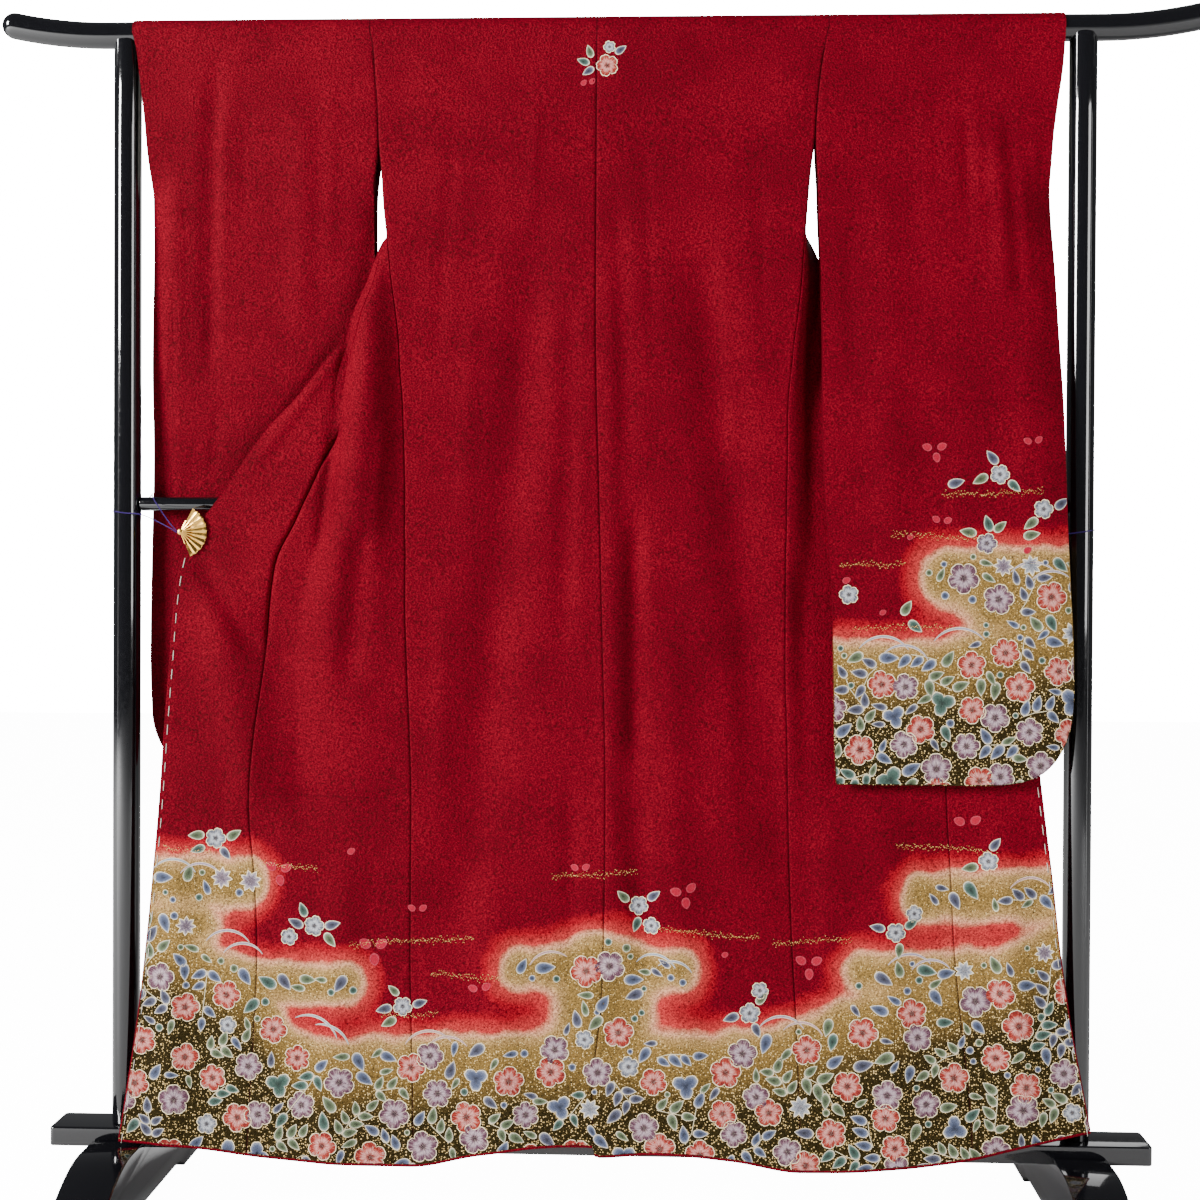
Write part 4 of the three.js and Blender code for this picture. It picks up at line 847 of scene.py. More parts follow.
def thread_dye(name, colour):
    """Twisted silk thread, its plies shown by fine slanting lines."""
    silky = silk(name, 0.5, 0.2)
    plies = silky.add("ShaderNodeTexWave", {"Vector": silky.place, "Scale": 420.0, "Distortion": 1.0},
                      wave_type="BANDS", bands_direction="DIAGONAL").outputs[1]
    shadow = tuple(c * 0.55 for c in colour[:3]) + (1,)
    silky.dress({"Base Color": silky.mixed(silky.ranged(plies, 0.2, 0.9, 0.0, 0.5), shadow, colour)})
    silky.bump(plies, 0.0001)


def leaf_gold():
    leaf = Finish("gold_leaf")
    shade = leaf.ranged(leaf.noise(leaf.place, 500.0, 1.0), 0.35, 0.65)
    colour = leaf.mixed(shade, (0.5, 0.24, 0.06, 1), (0.7, 0.44, 0.14, 1))
    leaf.dress({"Base Color": colour, "Roughness": 0.4, "Metallic": 0.35})


def material_of(name):
    return bpy.data.materials[name]


# ---- settings ----

class ClothSettings(bpy.types.PropertyGroup):
    wall: FloatProperty(name="Cloth thickness", description="Face cloth and lining together",
                        default=1.2 * MM, unit="LENGTH", precision=4)
    cell: FloatProperty(name="Cell", description="Distance between points of the cloth",
                        default=7.5 * MM, unit="LENGTH", precision=4)
    hem_roll: FloatProperty(name="Hem roll radius", description="Radius of the padded roll at the hem",
                            default=2.3 * MM, unit="LENGTH", precision=4)
    stitch: FloatProperty(name="Basting stitch", description="Length of a basting stitch",
                          default=14 * MM, unit="LENGTH", precision=4)


class DyeSettings(bpy.types.PropertyGroup):
    red: FloatVectorProperty(name="Red", description="Ground colour",
                             default=(0.094, 0.0008, 0.005, 1), subtype="COLOR", size=4)
    red_light: FloatVectorProperty(name="Lighter red", description="The ground's lighter clouds",
                                   default=(0.124, 0.0014, 0.0068, 1), subtype="COLOR", size=4)
    gold: FloatVectorProperty(name="Gold", description="Mist colour",
                              default=(0.15, 0.09, 0.024, 1), subtype="COLOR", size=4)
    olive: FloatVectorProperty(name="Olive", description="Dark ground at the hem",
                               default=(0.02, 0.0135, 0.0035, 1), subtype="COLOR", size=4)
    lining: FloatVectorProperty(name="Lining", description="Upper lining",
                                default=linear(214, 210, 202), subtype="COLOR", size=4)
    seed: IntProperty(name="Layout seed", description="Another seed lays the flowers out anew", default=21)


class StandSettings(bpy.types.PropertyGroup):
    lacquer: FloatVectorProperty(name="Lacquer", description="Colour of the stand",
                                 default=linear(9, 9, 12), subtype="COLOR", size=4)
    gold: FloatVectorProperty(name="Gold plate", description="Colour of the clips",
                              default=linear(226, 178, 92), subtype="COLOR", size=4)
    thread: FloatVectorProperty(name="Thread", description="Colour of the threads",
                                default=linear(58, 28, 116), subtype="COLOR", size=4)


class StudioSettings(bpy.types.PropertyGroup):
    key: FloatProperty(name="Key light", description="Power of the main light",
                       default=1850.0, unit="POWER")
    fill: FloatProperty(name="Fill light", description="Power of the second light",
                        default=104.0, unit="POWER")
    lens: FloatProperty(name="Lens", description="Focal length", default=52.65, unit="CAMERA")


def settings():
    scene = bpy.context.scene
    return scene.kimono_cloth, scene.kimono_dye, scene.kimono_stand, scene.kimono_studio


# ---- cloth pieces ----

def body_rows(step):
    """Heights of the cloth's rows, closer where it was pressed flat in folding."""
    even = np.linspace(HEM_ROW, RAIL_Z, int((RAIL_Z - HEM_ROW) / step))
    return np.unique(np.concatenate([even, np.arange(590, 652, 3.0), np.arange(1343, 1362, 3.0)]))


def near_seam(count, width, sides=(True, True)):
    """Shares from 0 to 1 of a width, with extra ones close to the sewn ends."""
    close = np.array([0.5, 1.2, 2.2, 3.6]) / width
    shares = [np.linspace(0, 1, count)]
    if sides[0]:
        shares.append(close)
    if sides[1]:
        shares.append(1 - close)
    return np.unique(np.round(np.concatenate(shares), 6))


def seam_pinch(distance, z):
    """How far the cloth dips towards the lining beside a seam, and puckers along it."""
    dip = 1.5 * np.exp(-((distance / 1.7) ** 2))
    pucker = 0.55 * np.sin(z / 6.3 + 2 * np.sin(z / 57)) * np.sin(z / 41.0) * np.exp(-distance / 9.0)
    return (dip + pucker) * smooth((RAIL_Z - 4 - z) / 40)


def tuck(name, distance, z):
    """The left front's okumi seam lies in a deep fold from the hip to the knee."""
    deep = 4.0 * np.exp(-((distance / 3.4) ** 2)) * smooth((1160 - z) / 60) * smooth((z - 780) / 80)
    return deep if name == "left" else 0 * deep


# Painted shadow in a thin line along a seam, darkest on the seam itself.
def painted_seam_shadow(distance):
    return np.exp(-((distance / 1.1) ** 2))


def face_height(cloth, above):
    """How far from the cloth's middle something lies that lies a little above its face."""
    return cloth.wall / MM / 2 + above


def finish_panel(name, points, cloth, lining, to_seam, seam, mist_at=skirt_mist, keep=None, tucked=0,
                 facing=None):
    """Walls a panel round its middle points, dips it at its seams and marks it for the dyes; its seam mark
    carries painted shadow along the seams and pressed creases.
    """
    x, z = points[..., 0], points[..., 2]
    inside, below = mist_at(x, z)
    marks = {"mist": inside * MM, "below": below * MM, "seam": seam}
    if facing is not None:
        marks["facing"] = np.broadcast_to(facing, x.shape)
    side = name.split("_")[1]
    faces = [material_of("dyed_crepe"), material_of(lining)]
    obj = cloth_shell(f"{name}_crepe", points, cloth.wall / MM, SIDES[side].sign, faces, marks, keep,
                      seam_pinch(to_seam, z) + tucked)
    return settle(obj, replaces=[name])


def body_panel(name, cloth):
    side = SIDES[name]
    rows = body_rows(cloth.cell / MM)
    centre, side_x = BACK["centre"][-1], side.sign * side.front["side"][-1]
    width = abs(side_x - centre)
    neck = (NECK_HALF * side.sign - centre) / (side_x - centre)
    low, high = near_seam(13, NECK_HALF), near_seam(35, abs(side_x) - NECK_HALF)
    shares = np.concatenate([neck * low, neck + (1 - neck) * high[1:]])
    back = back_point(side, rows[:, None], shares[None, :])
    rail_x = back[-1, :, 0]
    over = [over_rail(rail_x, a) for a in ROUND_RAIL]
    down = rows[::-1]
    front_shares = np.clip(1 - (shares - neck) / (1 - neck), 0, 1)
    front = front_point(side, down[:, None], (1 - read(side.front, "okumi", down))[:, None] * front_shares)
    front[0] = over_rail(rail_x, math.pi)
    points = np.concatenate([back, over, front])
    shoulder = len(rows) + len(over)
    keep = np.ones((len(points) - 1, len(shares) - 1), bool)
    keep[shoulder:, :len(low) - 1] = False
    to_seam = np.broadcast_to((1 - shares) * width, points.shape[:2]).copy()
    to_seam[:shoulder] = np.minimum(to_seam[:shoulder], (shares * width)[None, :])
    to_seam[shoulder:] = np.minimum(to_seam[shoulder:], (np.abs(shares - neck) * width)[None, :])
    tucked = np.zeros(points.shape[:2])
    tucked[shoulder:] = tuck(name, np.abs(shares - neck) * width, points[shoulder:, :, 2])
    # Painted shade along the pressed creases, kept with the painted seam shadow.
    pressed = painted_crease_shade(BODY_CREASES, points[..., 0], points[..., 2])
    return finish_panel(f"body_{name}", points, cloth, "lining_silk", to_seam,
                        np.maximum(painted_seam_shadow(to_seam), pressed), keep=keep, tucked=tucked)


def okumi_panel(name, cloth):
    side = SIDES[name]
    rows = body_rows(cloth.cell / MM)
    rows = np.append(rows[rows < OKUMI_TIP - 1], OKUMI_TIP)
    okumi = np.maximum(read(side.front, "okumi", rows), 0.002)
    shares = near_seam(26, OKUMI_WIDTH, (True, False))
    points = front_point(side, rows[:, None], 1 - okumi[:, None] * (1 - shares[None, :]))
    to_seam = np.broadcast_to(shares * OKUMI_WIDTH, points.shape[:2])
    # Painted shadow along the okumi's seam.
    return finish_panel(f"okumi_{name}", points, cloth, "red_crepe", to_seam, painted_seam_shadow(to_seam),
                        tucked=tuck(name, to_seam, points[..., 2]))


def sleeve_panel(name, cloth):
    side = SIDES[name]
    bottom = side.sleeve["z"][0]
    low = bottom + np.array([0, 1, 2.5, 4, 7, 10, 13, 18, 24, 30, 37, 44, 52])
    even = np.linspace(low[-1] + 7, RAIL_Z, int((RAIL_Z - low[-1]) / (cloth.cell / MM)))
    rows = np.unique(np.concatenate([low, even, np.arange(1148, 1178, 3.0)]))
    shares = np.concatenate([[0, 0.0016, 0.004, 0.007, 0.011], np.linspace(0.025, 0.86, 38),
                             [.875, .89, .905, .92, .935, .95, .963, .975, .984, .991, .996, 1]])
    front = sleeve_point(side, rows[:, None], shares[None, :], -1)
    over = [over_rail(front[-1, :, 0], a) for a in ROUND_RAIL]
    rear = sleeve_point(side, rows[::-1, None], shares[None, :], 1)
    points = np.concatenate([front, over, rear])
    x, z = points[..., 0], points[..., 2]
    sewn = (z > RAIL_Z - HAND_OPENING) | (np.abs(z - bottom) < 2)
    to_seam = np.where(sewn, shares * SLEEVE_WIDTH, 30.0)
    mist_at = sleeve_mist if name == "right" else lambda x, z: (np.full(x.shape, -90.0),) * 2
    # The seam mark holds painted shadow along the seams and painted shade along the pressed creases.
    return finish_panel(f"sleeve_{name}", points, cloth, "lining_silk", to_seam,
                        np.maximum(painted_seam_shadow(to_seam), painted_crease_shade(side.creases, x, z)), mist_at,
                        facing=(shares < 0.05) * 1.0)


def collar_band():
    """One band up the left front's edge, round the neck and down the right one."""
    rows = body_rows(11.0)
    heights = np.concatenate([[COLLAR_END], rows[rows > COLLAR_END + 4]])
    line = {n: front_point(s, heights, np.ones_like(heights)) for n, s in SIDES.items()}
    neck = np.array([(NECK_HALF * s, WRAP, RAIL_Z - 1) for s in np.linspace(-0.85, 0.85, 15)])
    path = np.concatenate([line["left"], neck, line["right"][::-1]])
    reach = 3
    at = np.arange(len(path))
    run = path[np.minimum(at + reach, len(path) - 1)] - path[np.maximum(at - reach, 0)]
    run[:, 1] = 0
    run = unit(run)
    inward = xyz(run[:, 2], 0, -run[:, 0])
    share = np.linspace(0, 1, 11)
    across = (COLLAR_WIDTH + 2 * COLLAR_LAP) * share - COLLAR_LAP
    points = path[:, None] + inward[:, None] * across[None, :, None]
    points[..., 1] += SOLID_WALL / 2 + GAP + COLLAR_WALL / 2 + 0.5 * np.sin(np.pi * share)
    obj = cloth_shell("collar_crepe", points, 2.6, 1, [material_of("red_crepe"), material_of("red_crepe")])
    return settle(obj, replaces=["collar"])


class KIMONO_OT_body(bpy.types.Operator):
    """Make the two body cloths, from the back hem over the shoulders to the front hem"""
    bl_idname = "kimono.body"
    bl_label = "Body"

    def execute(self, context):
        cloth = settings()[0]
        for name in SIDES:
            panel = body_panel(name, cloth)
        return {"FINISHED"}


class KIMONO_OT_okumi(bpy.types.Operator):
    """Make the two narrow panels between the fronts and the free edges"""
    bl_idname = "kimono.okumi"
    bl_label = "Okumi"

    def execute(self, context):
        cloth = settings()[0]
        for name in SIDES:
            panel = okumi_panel(name, cloth)
        return {"FINISHED"}


class KIMONO_OT_sleeves(bpy.types.Operator):
    """Make the two long sleeves, each one cloth folded over the rail"""
    bl_idname = "kimono.sleeves"
    bl_label = "Sleeves"

    def execute(self, context):
        cloth = settings()[0]
        for name in SIDES:
            panel = sleeve_panel(name, cloth)
        return {"FINISHED"}


class KIMONO_OT_collar(bpy.types.Operator):
    """Make the collar band, one thick band behind the fronts"""
    bl_idname = "kimono.collar"
    bl_label = "Collar"

    def execute(self, context):
        collar_band()
        return {"FINISHED"}


# ---- edges and stitches ----

def hem_paths(inset, lift):
    """The lower edge of the cloth as one path a side, and each free edge as another."""
    paths = []
    for side in SIDES.values():
        centre = float(read(BACK, "centre", HEM_ROW))
        outer = side.sign * float(read(side.front, "edge", HEM_ROW))
        x = np.linspace(centre + side.sign * 1.5, outer, 90)
        z = read(HEM, "z", x, "x") + inset
        paths.append(xyz(x, skin_y(x, z) + lift, z))
    return paths


def free_edge(side, top, inset, lift):
    rows = np.linspace(HEM_ROW + 4, top, 110)
    width = read(side.front, "edge", rows) - read(side.front, "side", rows)
    points = front_point(side, rows, 1 - inset / width)
    points[:, 1] += lift
    return points


class KIMONO_OT_edges(bpy.types.Operator):
    """Make the rolled lining that shows along the hem and the free edges"""
    bl_idname = "kimono.edges"
    bl_label = "Hem roll"

    def execute(self, context):
        tree = roll_tree(material_of("red_crepe"))
        hem = {"Radius": settings()[0].hem_roll, "Sides": 12}
        settle(grown(wire("hem_roll", hem_paths(0.6, 0.9)), tree, hem))
        edges = [free_edge(side, 940, 0.4, 0.7) for side in SIDES.values()]
        settle(grown(wire("free_edge_roll", edges), tree, {"Radius": 1.5 * MM, "Sides": 10}))
        return {"FINISHED"}


class KIMONO_OT_basting(bpy.types.Operator):
    """Make the pale basting stitches along both free edges"""
    bl_idname = "kimono.basting"
    bl_label = "Basting"

    def execute(self, context):
        cloth = settings()[0]
        lines = [free_edge(side, 930, 4.5, -face_height(cloth, 0.35)) for side in SIDES.values()]
        tree = stitch_tree(material_of("basting_thread"))
        settle(grown(wire("basting", lines), tree, {"Length": cloth.stitch}))
        return {"FINISHED"}


# ---- painted motifs ----

CORAL, MAUVE, WHITE, PALE = (150, 48, 36), (98, 68, 82), (108, 114, 124), (90, 78, 94)
SLATE, SAGE, TEAL, BLUE, PINK = (72, 74, 90), (84, 96, 72), (62, 84, 76), (76, 84, 106), (146, 18, 42)


def round_shape(turn, radius):
    return radius * np.cos(turn), radius * np.sin(turn)


def flower_shape(turn, petals=5, notch=0.012, ruffle=0.009):
    """Broad petals, each with a small notch at its tip and a slightly ruffled edge."""
    local = (turn * petals / (2 * math.pi)) % 1.0
    lobe = 0.72 + 0.28 * np.abs(np.sin(math.pi * local)) ** 0.5
    dent = notch * np.exp(-((local - 0.5) / 0.06) ** 2)
    return round_shape(turn, lobe - dent + ruffle * np.sin(3 * petals * turn + 1))


def star_shape(turn, points=8):
    local = np.abs(((turn * points / (2 * math.pi)) % 1.0) - 0.5) * 2
    return round_shape(turn, 0.62 + 0.38 * local ** 1.15)


def ivy_shape(turn):
    local = np.abs(((turn * 3 / (2 * math.pi)) % 1.0) - 0.5) * 2
    return round_shape(turn, 0.48 + 0.52 * (1 - (1 - local) ** 1.5) * (1 - 0.07 * np.cos(12 * turn)))


def leaf_shape(turn, width, tip=0.8):
    """Rounded at its base and drawn out to a tip."""
    return np.cos(turn), width * np.sin(turn) * 1.22 * np.abs(np.sin(turn / 2)) ** tip


KINDS = {
    # outline, steps round, resist line in mm, half width for spacing
    "flower": (flower_shape, 60, 1.25, 1.0),
    "six": (lambda t: flower_shape(t, 6, 0.01), 60, 1.25, 1.0),
    "sakura": (lambda t: flower_shape(t, 5, 0.035, 0.018), 50, 1.2, 1.0),
    "star": (star_shape, 32, 1.9, 0.95),
    "ivy": (ivy_shape, 36, 1.2, 0.85),
    "dot": (lambda t: round_shape(t, 1 + 0.03 * np.sin(3 * t)), 14, 0.8, 1.0),
    "leaf": (lambda t: leaf_shape(t, 0.56), 24, 0.95, 0.66),
    "slim": (lambda t: leaf_shape(t, 0.46), 24, 0.9, 0.6),
    "petal": (lambda t: leaf_shape(t, 0.68, 0.3), 20, 0.0, 0.8),
}
FLOWERS = ("flower", "six", "sakura")
STREAK = {"flower": 1.0, "six": 1.0, "sakura": 0.9, "star": 1.0}
OUTLINE = {"petal": 0.0, "leaf": 0.6, "slim": 0.6, "dot": 0.6}


def motif_rings(kind, colour, edge):
    """The colours of a motif from its middle out: (share of its size, colour)."""
    own, deep, core = (np.array(linear(*[c * part for c in colour])[:3]) for part in (1, 0.5, 0.8))
    soft = np.array(linear(*[c + (250 - c) * 0.34 for c in colour])[:3])
    if kind in FLOWERS:
        return [(0.0, deep), (0.13, deep), (0.2, core), (0.34, soft), (0.5, soft), (0.68, own),
                (edge, core), (1.0, own)]
    if kind == "star":
        return [(0.0, core), (0.4, own), (edge, soft), (1.0, own)]
    if kind == "petal":
        return [(0.0, own), (0.7, own), (1.0, soft * 0.25 + own * 0.75)]
    return [(0.0, deep), (0.35, core), (edge * 0.75, own), (edge, soft * 0.75 + own * 0.25), (1.0, soft)]


class Painter:
    """Collects painted motifs in the plane of the cloth, then lays them on a surface."""

    def __init__(self, rng):
        self.rng = rng
        self.points, self.faces, self.placed = [], [], np.zeros((0, 3))

    def dot(self, x, z, shade, rim, turn, line, streak):
        """A point of a motif: its place, colour and what the painted finish reads."""
        self.points.append((x, z, *shade[:3], 1.0, rim, turn, line, streak))

    def motif(self, kind, x, z, size, angle, colour):
        outline, steps, line, half = KINDS[kind]
        us, vs = (size * part for part in outline(2 * math.pi * np.arange(steps) / steps))
        edge = max(0.5, 1 - line / (size * half))
        seed = self.rng.uniform(0, 90)
        start = len(self.points)
        ca, sa = math.cos(angle), math.sin(angle)
        for k, (share, shade) in enumerate(motif_rings(kind, colour, edge)):
            rim = share / edge if share <= edge else 1 + (share - edge) / max(1e-6, 1 - edge)
            for i, (u, v) in enumerate([(0.0, 0.0)] if share == 0 else zip(us * share, vs * share)):
                turn = seed + min(i, steps - i) * 45.0 / steps
                self.dot(x + u * ca - v * sa, z + u * sa + v * ca, shade, rim, turn,
                         OUTLINE.get(kind, 1.0), STREAK.get(kind, 0.12))
            if k == 1:
                self.faces += [(start, start + 1 + i, start + 1 + (i + 1) % steps) for i in range(steps)]
            elif k > 1:
                a, b = start + 1 + (k - 2) * steps, start + 1 + (k - 1) * steps
                around = [(i, (i + 1) % steps) for i in range(steps)]
                self.faces += [(a + i, b + i, b + j, a + j) for i, j in around]

    def motifs(self, kind, rows):
        """Several motifs of a kind: (x, z, size, angle, colour)."""
        for row in rows:
            self.motif(kind, *row)

    def arc(self, x, z, radius, start_angle, sweep, colour, width=4.0, steps=26):
        """A pale crescent, thin at both ends."""
        start = len(self.points)
        for i in range(steps + 1):
            t = i / steps
            a = start_angle + sweep * t
            half = width / 2 * math.sin(math.pi * (0.06 + 0.88 * t)) ** 0.8
            for r, rim in ((radius - half, 1.5), (radius, 0.6), (radius + half, 1.5)):
                self.dot(x + r * math.cos(a), z + r * math.sin(a), linear(*colour), rim,
                         t * 6 + x, 0.6, 0.3)
            if i:
                b = start + 3 * i
                self.faces += [(b - 3, b - 2, b + 1, b), (b - 2, b - 1, b + 2, b + 1)]

    def stem(self, points, width, colour):
        start = len(self.points)
        points = np.array(points, float)
        run = unit(np.gradient(points, axis=0))
        for i, ((x, z), (rx, rz)) in enumerate(zip(points, run)):
            for half in (-width / 2, width / 2):
                self.dot(x - rz * half, z + rx * half, linear(*colour), 0.5, i * 0.3, 0.0, 0.0)
            if i:
                b = start + 2 * i
                self.faces.append((b - 2, b - 1, b + 1, b))

    def fits(self, x, z, room):
        at = self.placed
        return bool((np.hypot(at[:, 0] - x, at[:, 1] - z) > at[:, 2] + room).all())

    def take(self, x, z, room):
        self.placed = np.vstack([self.placed, (x, z, room)])

    def spray(self, x, z, size, angle, colour, inside):
        """A stem of leaflets, where at least three pairs find room."""
        leaflets = [leaf for leaf in spray_leaflets(self.rng, x, z, angle, size)
                    if inside(*leaf[:2]) and self.fits(*leaf[:2], leaf[2] * 0.55)]
        nodes = sorted({(leaf[6], leaf[4], leaf[5]) for leaf in leaflets})
        if len(nodes) < 3 or not all(self.fits(sx, sz, 1.5) for _, sx, sz in nodes):
            return
        self.stem([node[1:] for node in nodes], 1.0, (196, 184, 150))
        for lx, lz, length, turn, _, _, _ in leaflets:
            self.motif("leaf", lx, lz, length, turn, colour)
            self.take(lx, lz, length * 0.62)

    def strew(self, box, mist_at, plan):
        """Fills the mist with motifs, largest first, none over another. plan rows: kind, size range,
        room kept round it, how deep in the mist it starts, tries, colours."""
        x0, x1, z0, z1 = box
        rng = self.rng
        deep = lambda x, z: mist_at(np.array(x), np.array(z))[0]
        for kind, small, large, room, depth, tries, colours in plan:
            for _ in range(tries):
                x, z = rng.uniform(x0, x1), rng.uniform(z0, z1)
                if deep(x, z) < depth:
                    continue
                size, colour = rng.uniform(small, large), rng.choice(colours)
                angle = rng.uniform(0, 2 * math.pi)
                if kind == "spray":
                    self.spray(x, z, size, angle, colour, lambda u, v: deep(u, v) > depth)
                    continue
                own = size * KINDS[kind][3]
                if not self.fits(x, z, own + room):
                    continue
                if kind in ("flower", "six") and rng.random() < 0.45:
                    # a second flower, half under the first
                    far = rng.uniform(1.35, 1.6) * size
                    x2, z2 = x + far * math.cos(angle), z + far * math.sin(angle)
                    if self.fits(x2, z2, own):
                        self.motif(kind, x2, z2, size * 0.95, angle, MAUVE if colour != MAUVE else CORAL)
                        self.take(x2, z2, own)
                self.motif(kind, x, z, size, angle, colour)
                self.take(x, z, own)

    def posy(self, x, z, size, colour, leaves):
        """A loose flower on the red with a few leaves round it: (angle, how far out, length, colour)."""
        self.motif("sakura", x, z, size, self.rng.uniform(0, 6.28), colour)
        for a, far, length, tone in leaves:
            self.motif("leaf", x + far * math.cos(a), z + far * math.sin(a), length,
                       a + self.rng.uniform(-0.4, 0.4), tone)

    def petals(self, x, z, size, count):
        for k in range(count):
            a = 0.6 + k * 2 * math.pi / max(3, count) + self.rng.uniform(-0.2, 0.2)
            self.motif("petal", x + 1.6 * size * math.cos(a), z + 1.6 * size * math.sin(a), size, a, PINK)

    def lay(self, name, height, clamp, lift):
        """Lays everything on a surface y = height(x, z), a little proud of it."""
        dots = np.array(self.points)
        x, z = clamp(dots[:, 0], dots[:, 1])
        step = 1.5
        dx = (height(x + step, z) - height(x - step, z)) / (2 * step)
        dz = (height(x, z + step) - height(x, z - step)) / (2 * step)
        points = xyz(x, height(x, z), z) + unit(xyz(dx, -1, dz)) * lift
        marks = {"dye": dots[:, 2:6], **dict(zip(("rim", "turn", "line", "streak"), dots[:, 6:].T))}
        paint = [material_of("painted_motif")]
        return settle(new_object(name, points, self.faces, paint, marks))


def skirt_clamp(x, z):
    """Keeps a place on the skirt, clear of its hem and free edges."""
    z = np.maximum(z, read(HEM, "z", x, "x") + 3.0)
    row = off_hem(x, z)
    return np.clip(x, -read(LEFT_FRONT, "edge", row) + 1.2, read(RIGHT_FRONT, "edge", row) - 1.2), z


def sleeve_clamp(x, z):
    z = np.maximum(z, 627.5)
    return np.clip(x, read(RIGHT_SLEEVE, "inner", z) + 0.8, read(RIGHT_SLEEVE, "outer", z) - 1.0), z


def spray_leaflets(rng, x, z, angle, size):
    """Leaflets in pairs along a bowed stem, and one at its tip.

    Each is (x, z, length, turn, stem x, stem z, pair)."""
    pairs, bow, out = rng.choice([2, 3, 3, 4]), rng.uniform(-0.5, 0.5), []
    for k in range(pairs + 1):
        bend = angle + bow * (k / pairs - 0.5)
        sx, sz = x + size * 1.3 * k * math.cos(bend), z + size * 1.3 * k * math.sin(bend)
        for side in ((-1, 1) if k < pairs else (0,)):
            turn = bend + side * rng.uniform(0.8, 1.05)
            length = size * rng.uniform(0.78, 0.95)
            reach = length * (1.12 if side else 0.9)
            out.append((sx + reach * math.cos(turn), sz + reach * math.sin(turn), length, turn, sx, sz, k))
    return out


GROUND_PLAN = [
    ("flower", 20.0, 23.5, 11.0, 32, 700, [CORAL, CORAL, MAUVE]),
    ("six", 19.0, 22.0, 8.0, 30, 300, [MAUVE, CORAL]),
    ("ivy", 17.0, 21.0, 5.0, 46, 220, [BLUE, TEAL, BLUE]),
    ("star", 14.0, 17.0, 7.0, 12, 90, [PALE, WHITE]),
    ("sakura", 13.0, 16.0, 5.0, 20, 160, [WHITE, MAUVE, WHITE]),
    ("spray", 12.5, 14.5, 0.0, 20, 800, [SAGE, BLUE, TEAL, SAGE, SLATE]),
    ("leaf", 12.0, 15.0, 2.2, 15, 1700, [SLATE, SAGE, BLUE, BLUE, TEAL]),
    ("slim", 9.5, 12.0, 1.6, 12, 1200, [SLATE, SAGE, BLUE, SAGE]),
    ("dot", 4.0, 6.0, 1.5, 4, 700, [TEAL, SAGE, BLUE]),
]


# posies: x, z, size, colour, then for each leaf its angle, how far out, length and colour
SKIRT_POSIES = [
    (-396, 418, 15, WHITE,
     (0.1, 27, 12, SLATE), (5.6, 30, 12, SAGE), (2.2, 28, 11, TEAL), (3.0, 27, 12, SLATE)),
    (-270, 306, 14, WHITE,
     (3.3, 27, 12, SLATE), (0.2, 25, 11, SLATE), (4.0, 30, 12, SAGE), (2.1, 26, 10, SAGE)),
    (62, 452, 14, WHITE, (0.6, 26, 11, SLATE), (2.6, 26, 11, SAGE), (4.6, 27, 11, TEAL)),
    (218, 304, 15, WHITE, (0.9, 27, 11, SAGE), (3.4, 27, 12, SLATE), (5.1, 26, 11, SLATE)),
    (420, 420, 14, WHITE, (0.5, 25, 11, TEAL), (2.9, 26, 11, SLATE), (4.9, 26, 11, SAGE)),
    (-538, 540, 15, WHITE,
     (0.2, 27, 12, SAGE), (5.3, 26, 11, SLATE), (3.0, 28, 12, SAGE), (3.7, 30, 11, TEAL)),
    (548, 520, 14, WHITE, (1.2, 26, 11, SLATE), (3.5, 27, 12, SAGE))]
SLEEVE_POSIES = [
    (542, 962, 15, PALE, (2.6, 30, 12, SAGE), (1.5, 28, 12, TEAL), (0.9, 30, 11, SAGE)),
    (352, 890, 14, WHITE),
    (620, 1010, 14, WHITE, (0.3, 27, 12, SLATE), (4.0, 27, 12, SAGE)),
    (560, 1058, 14, WHITE, (2.0, 26, 12, SLATE), (3.4, 28, 12, SAGE), (5.6, 26, 11, TEAL))]
# petals: x, z, size, count
SKIRT_PETALS = [
    (-448, 494, 8, 3), (-312, 386, 9, 3), (-250, 440, 6, 2), (-160, 330, 7, 2), (126, 470, 8, 3),
    (300, 372, 8, 3), (520, 570, 8, 2), (-20, 500, 6, 2), (-352, 520, 6, 1), (176, 382, 5, 1)]
SLEEVE_PETALS = [
    (392, 862, 5, 1), (430, 966, 5, 1), (480, 990, 6, 2), (590, 948, 6, 1), (340, 906, 6, 1),
    (470, 1092, 7, 3), (606, 1100, 6, 2)]
# arcs: x, z, radius, start, sweep
SKIRT_ARCS = [
    (-598, 474, 36, 0.5, 2.0), (-560, 470, 34, 0.5, 2.0), (-520, 372, 38, 0.6, 1.9),
    (-498, 358, 34, 0.6, 1.9), (-404, 248, 44, 0.3, 1.7), (-384, 240, 40, 0.3, 1.5),
    (-232, 232, 40, 0.7, 1.9), (-206, 228, 36, 0.7, 1.8), (-60, 352, 34, 0.9, 1.8), (84, 350, 34, 0.5, 1.9),
    (110, 346, 30, 0.5, 1.8), (262, 262, 38, 0.6, 1.9), (290, 258, 34, 0.5, 1.9), (440, 352, 38, 0.7, 1.8),
    (470, 348, 34, 0.7, 1.8), (606, 462, 36, 0.7, 1.8)]
SLEEVE_ARCS = [
    (400, 790, 42, 0.6, 1.9), (428, 782, 38, 0.5, 1.9), (505, 800, 44, 0.7, 1.8), (606, 894, 42, 0.8, 1.6),
    (632, 886, 38, 0.9, 1.5)]


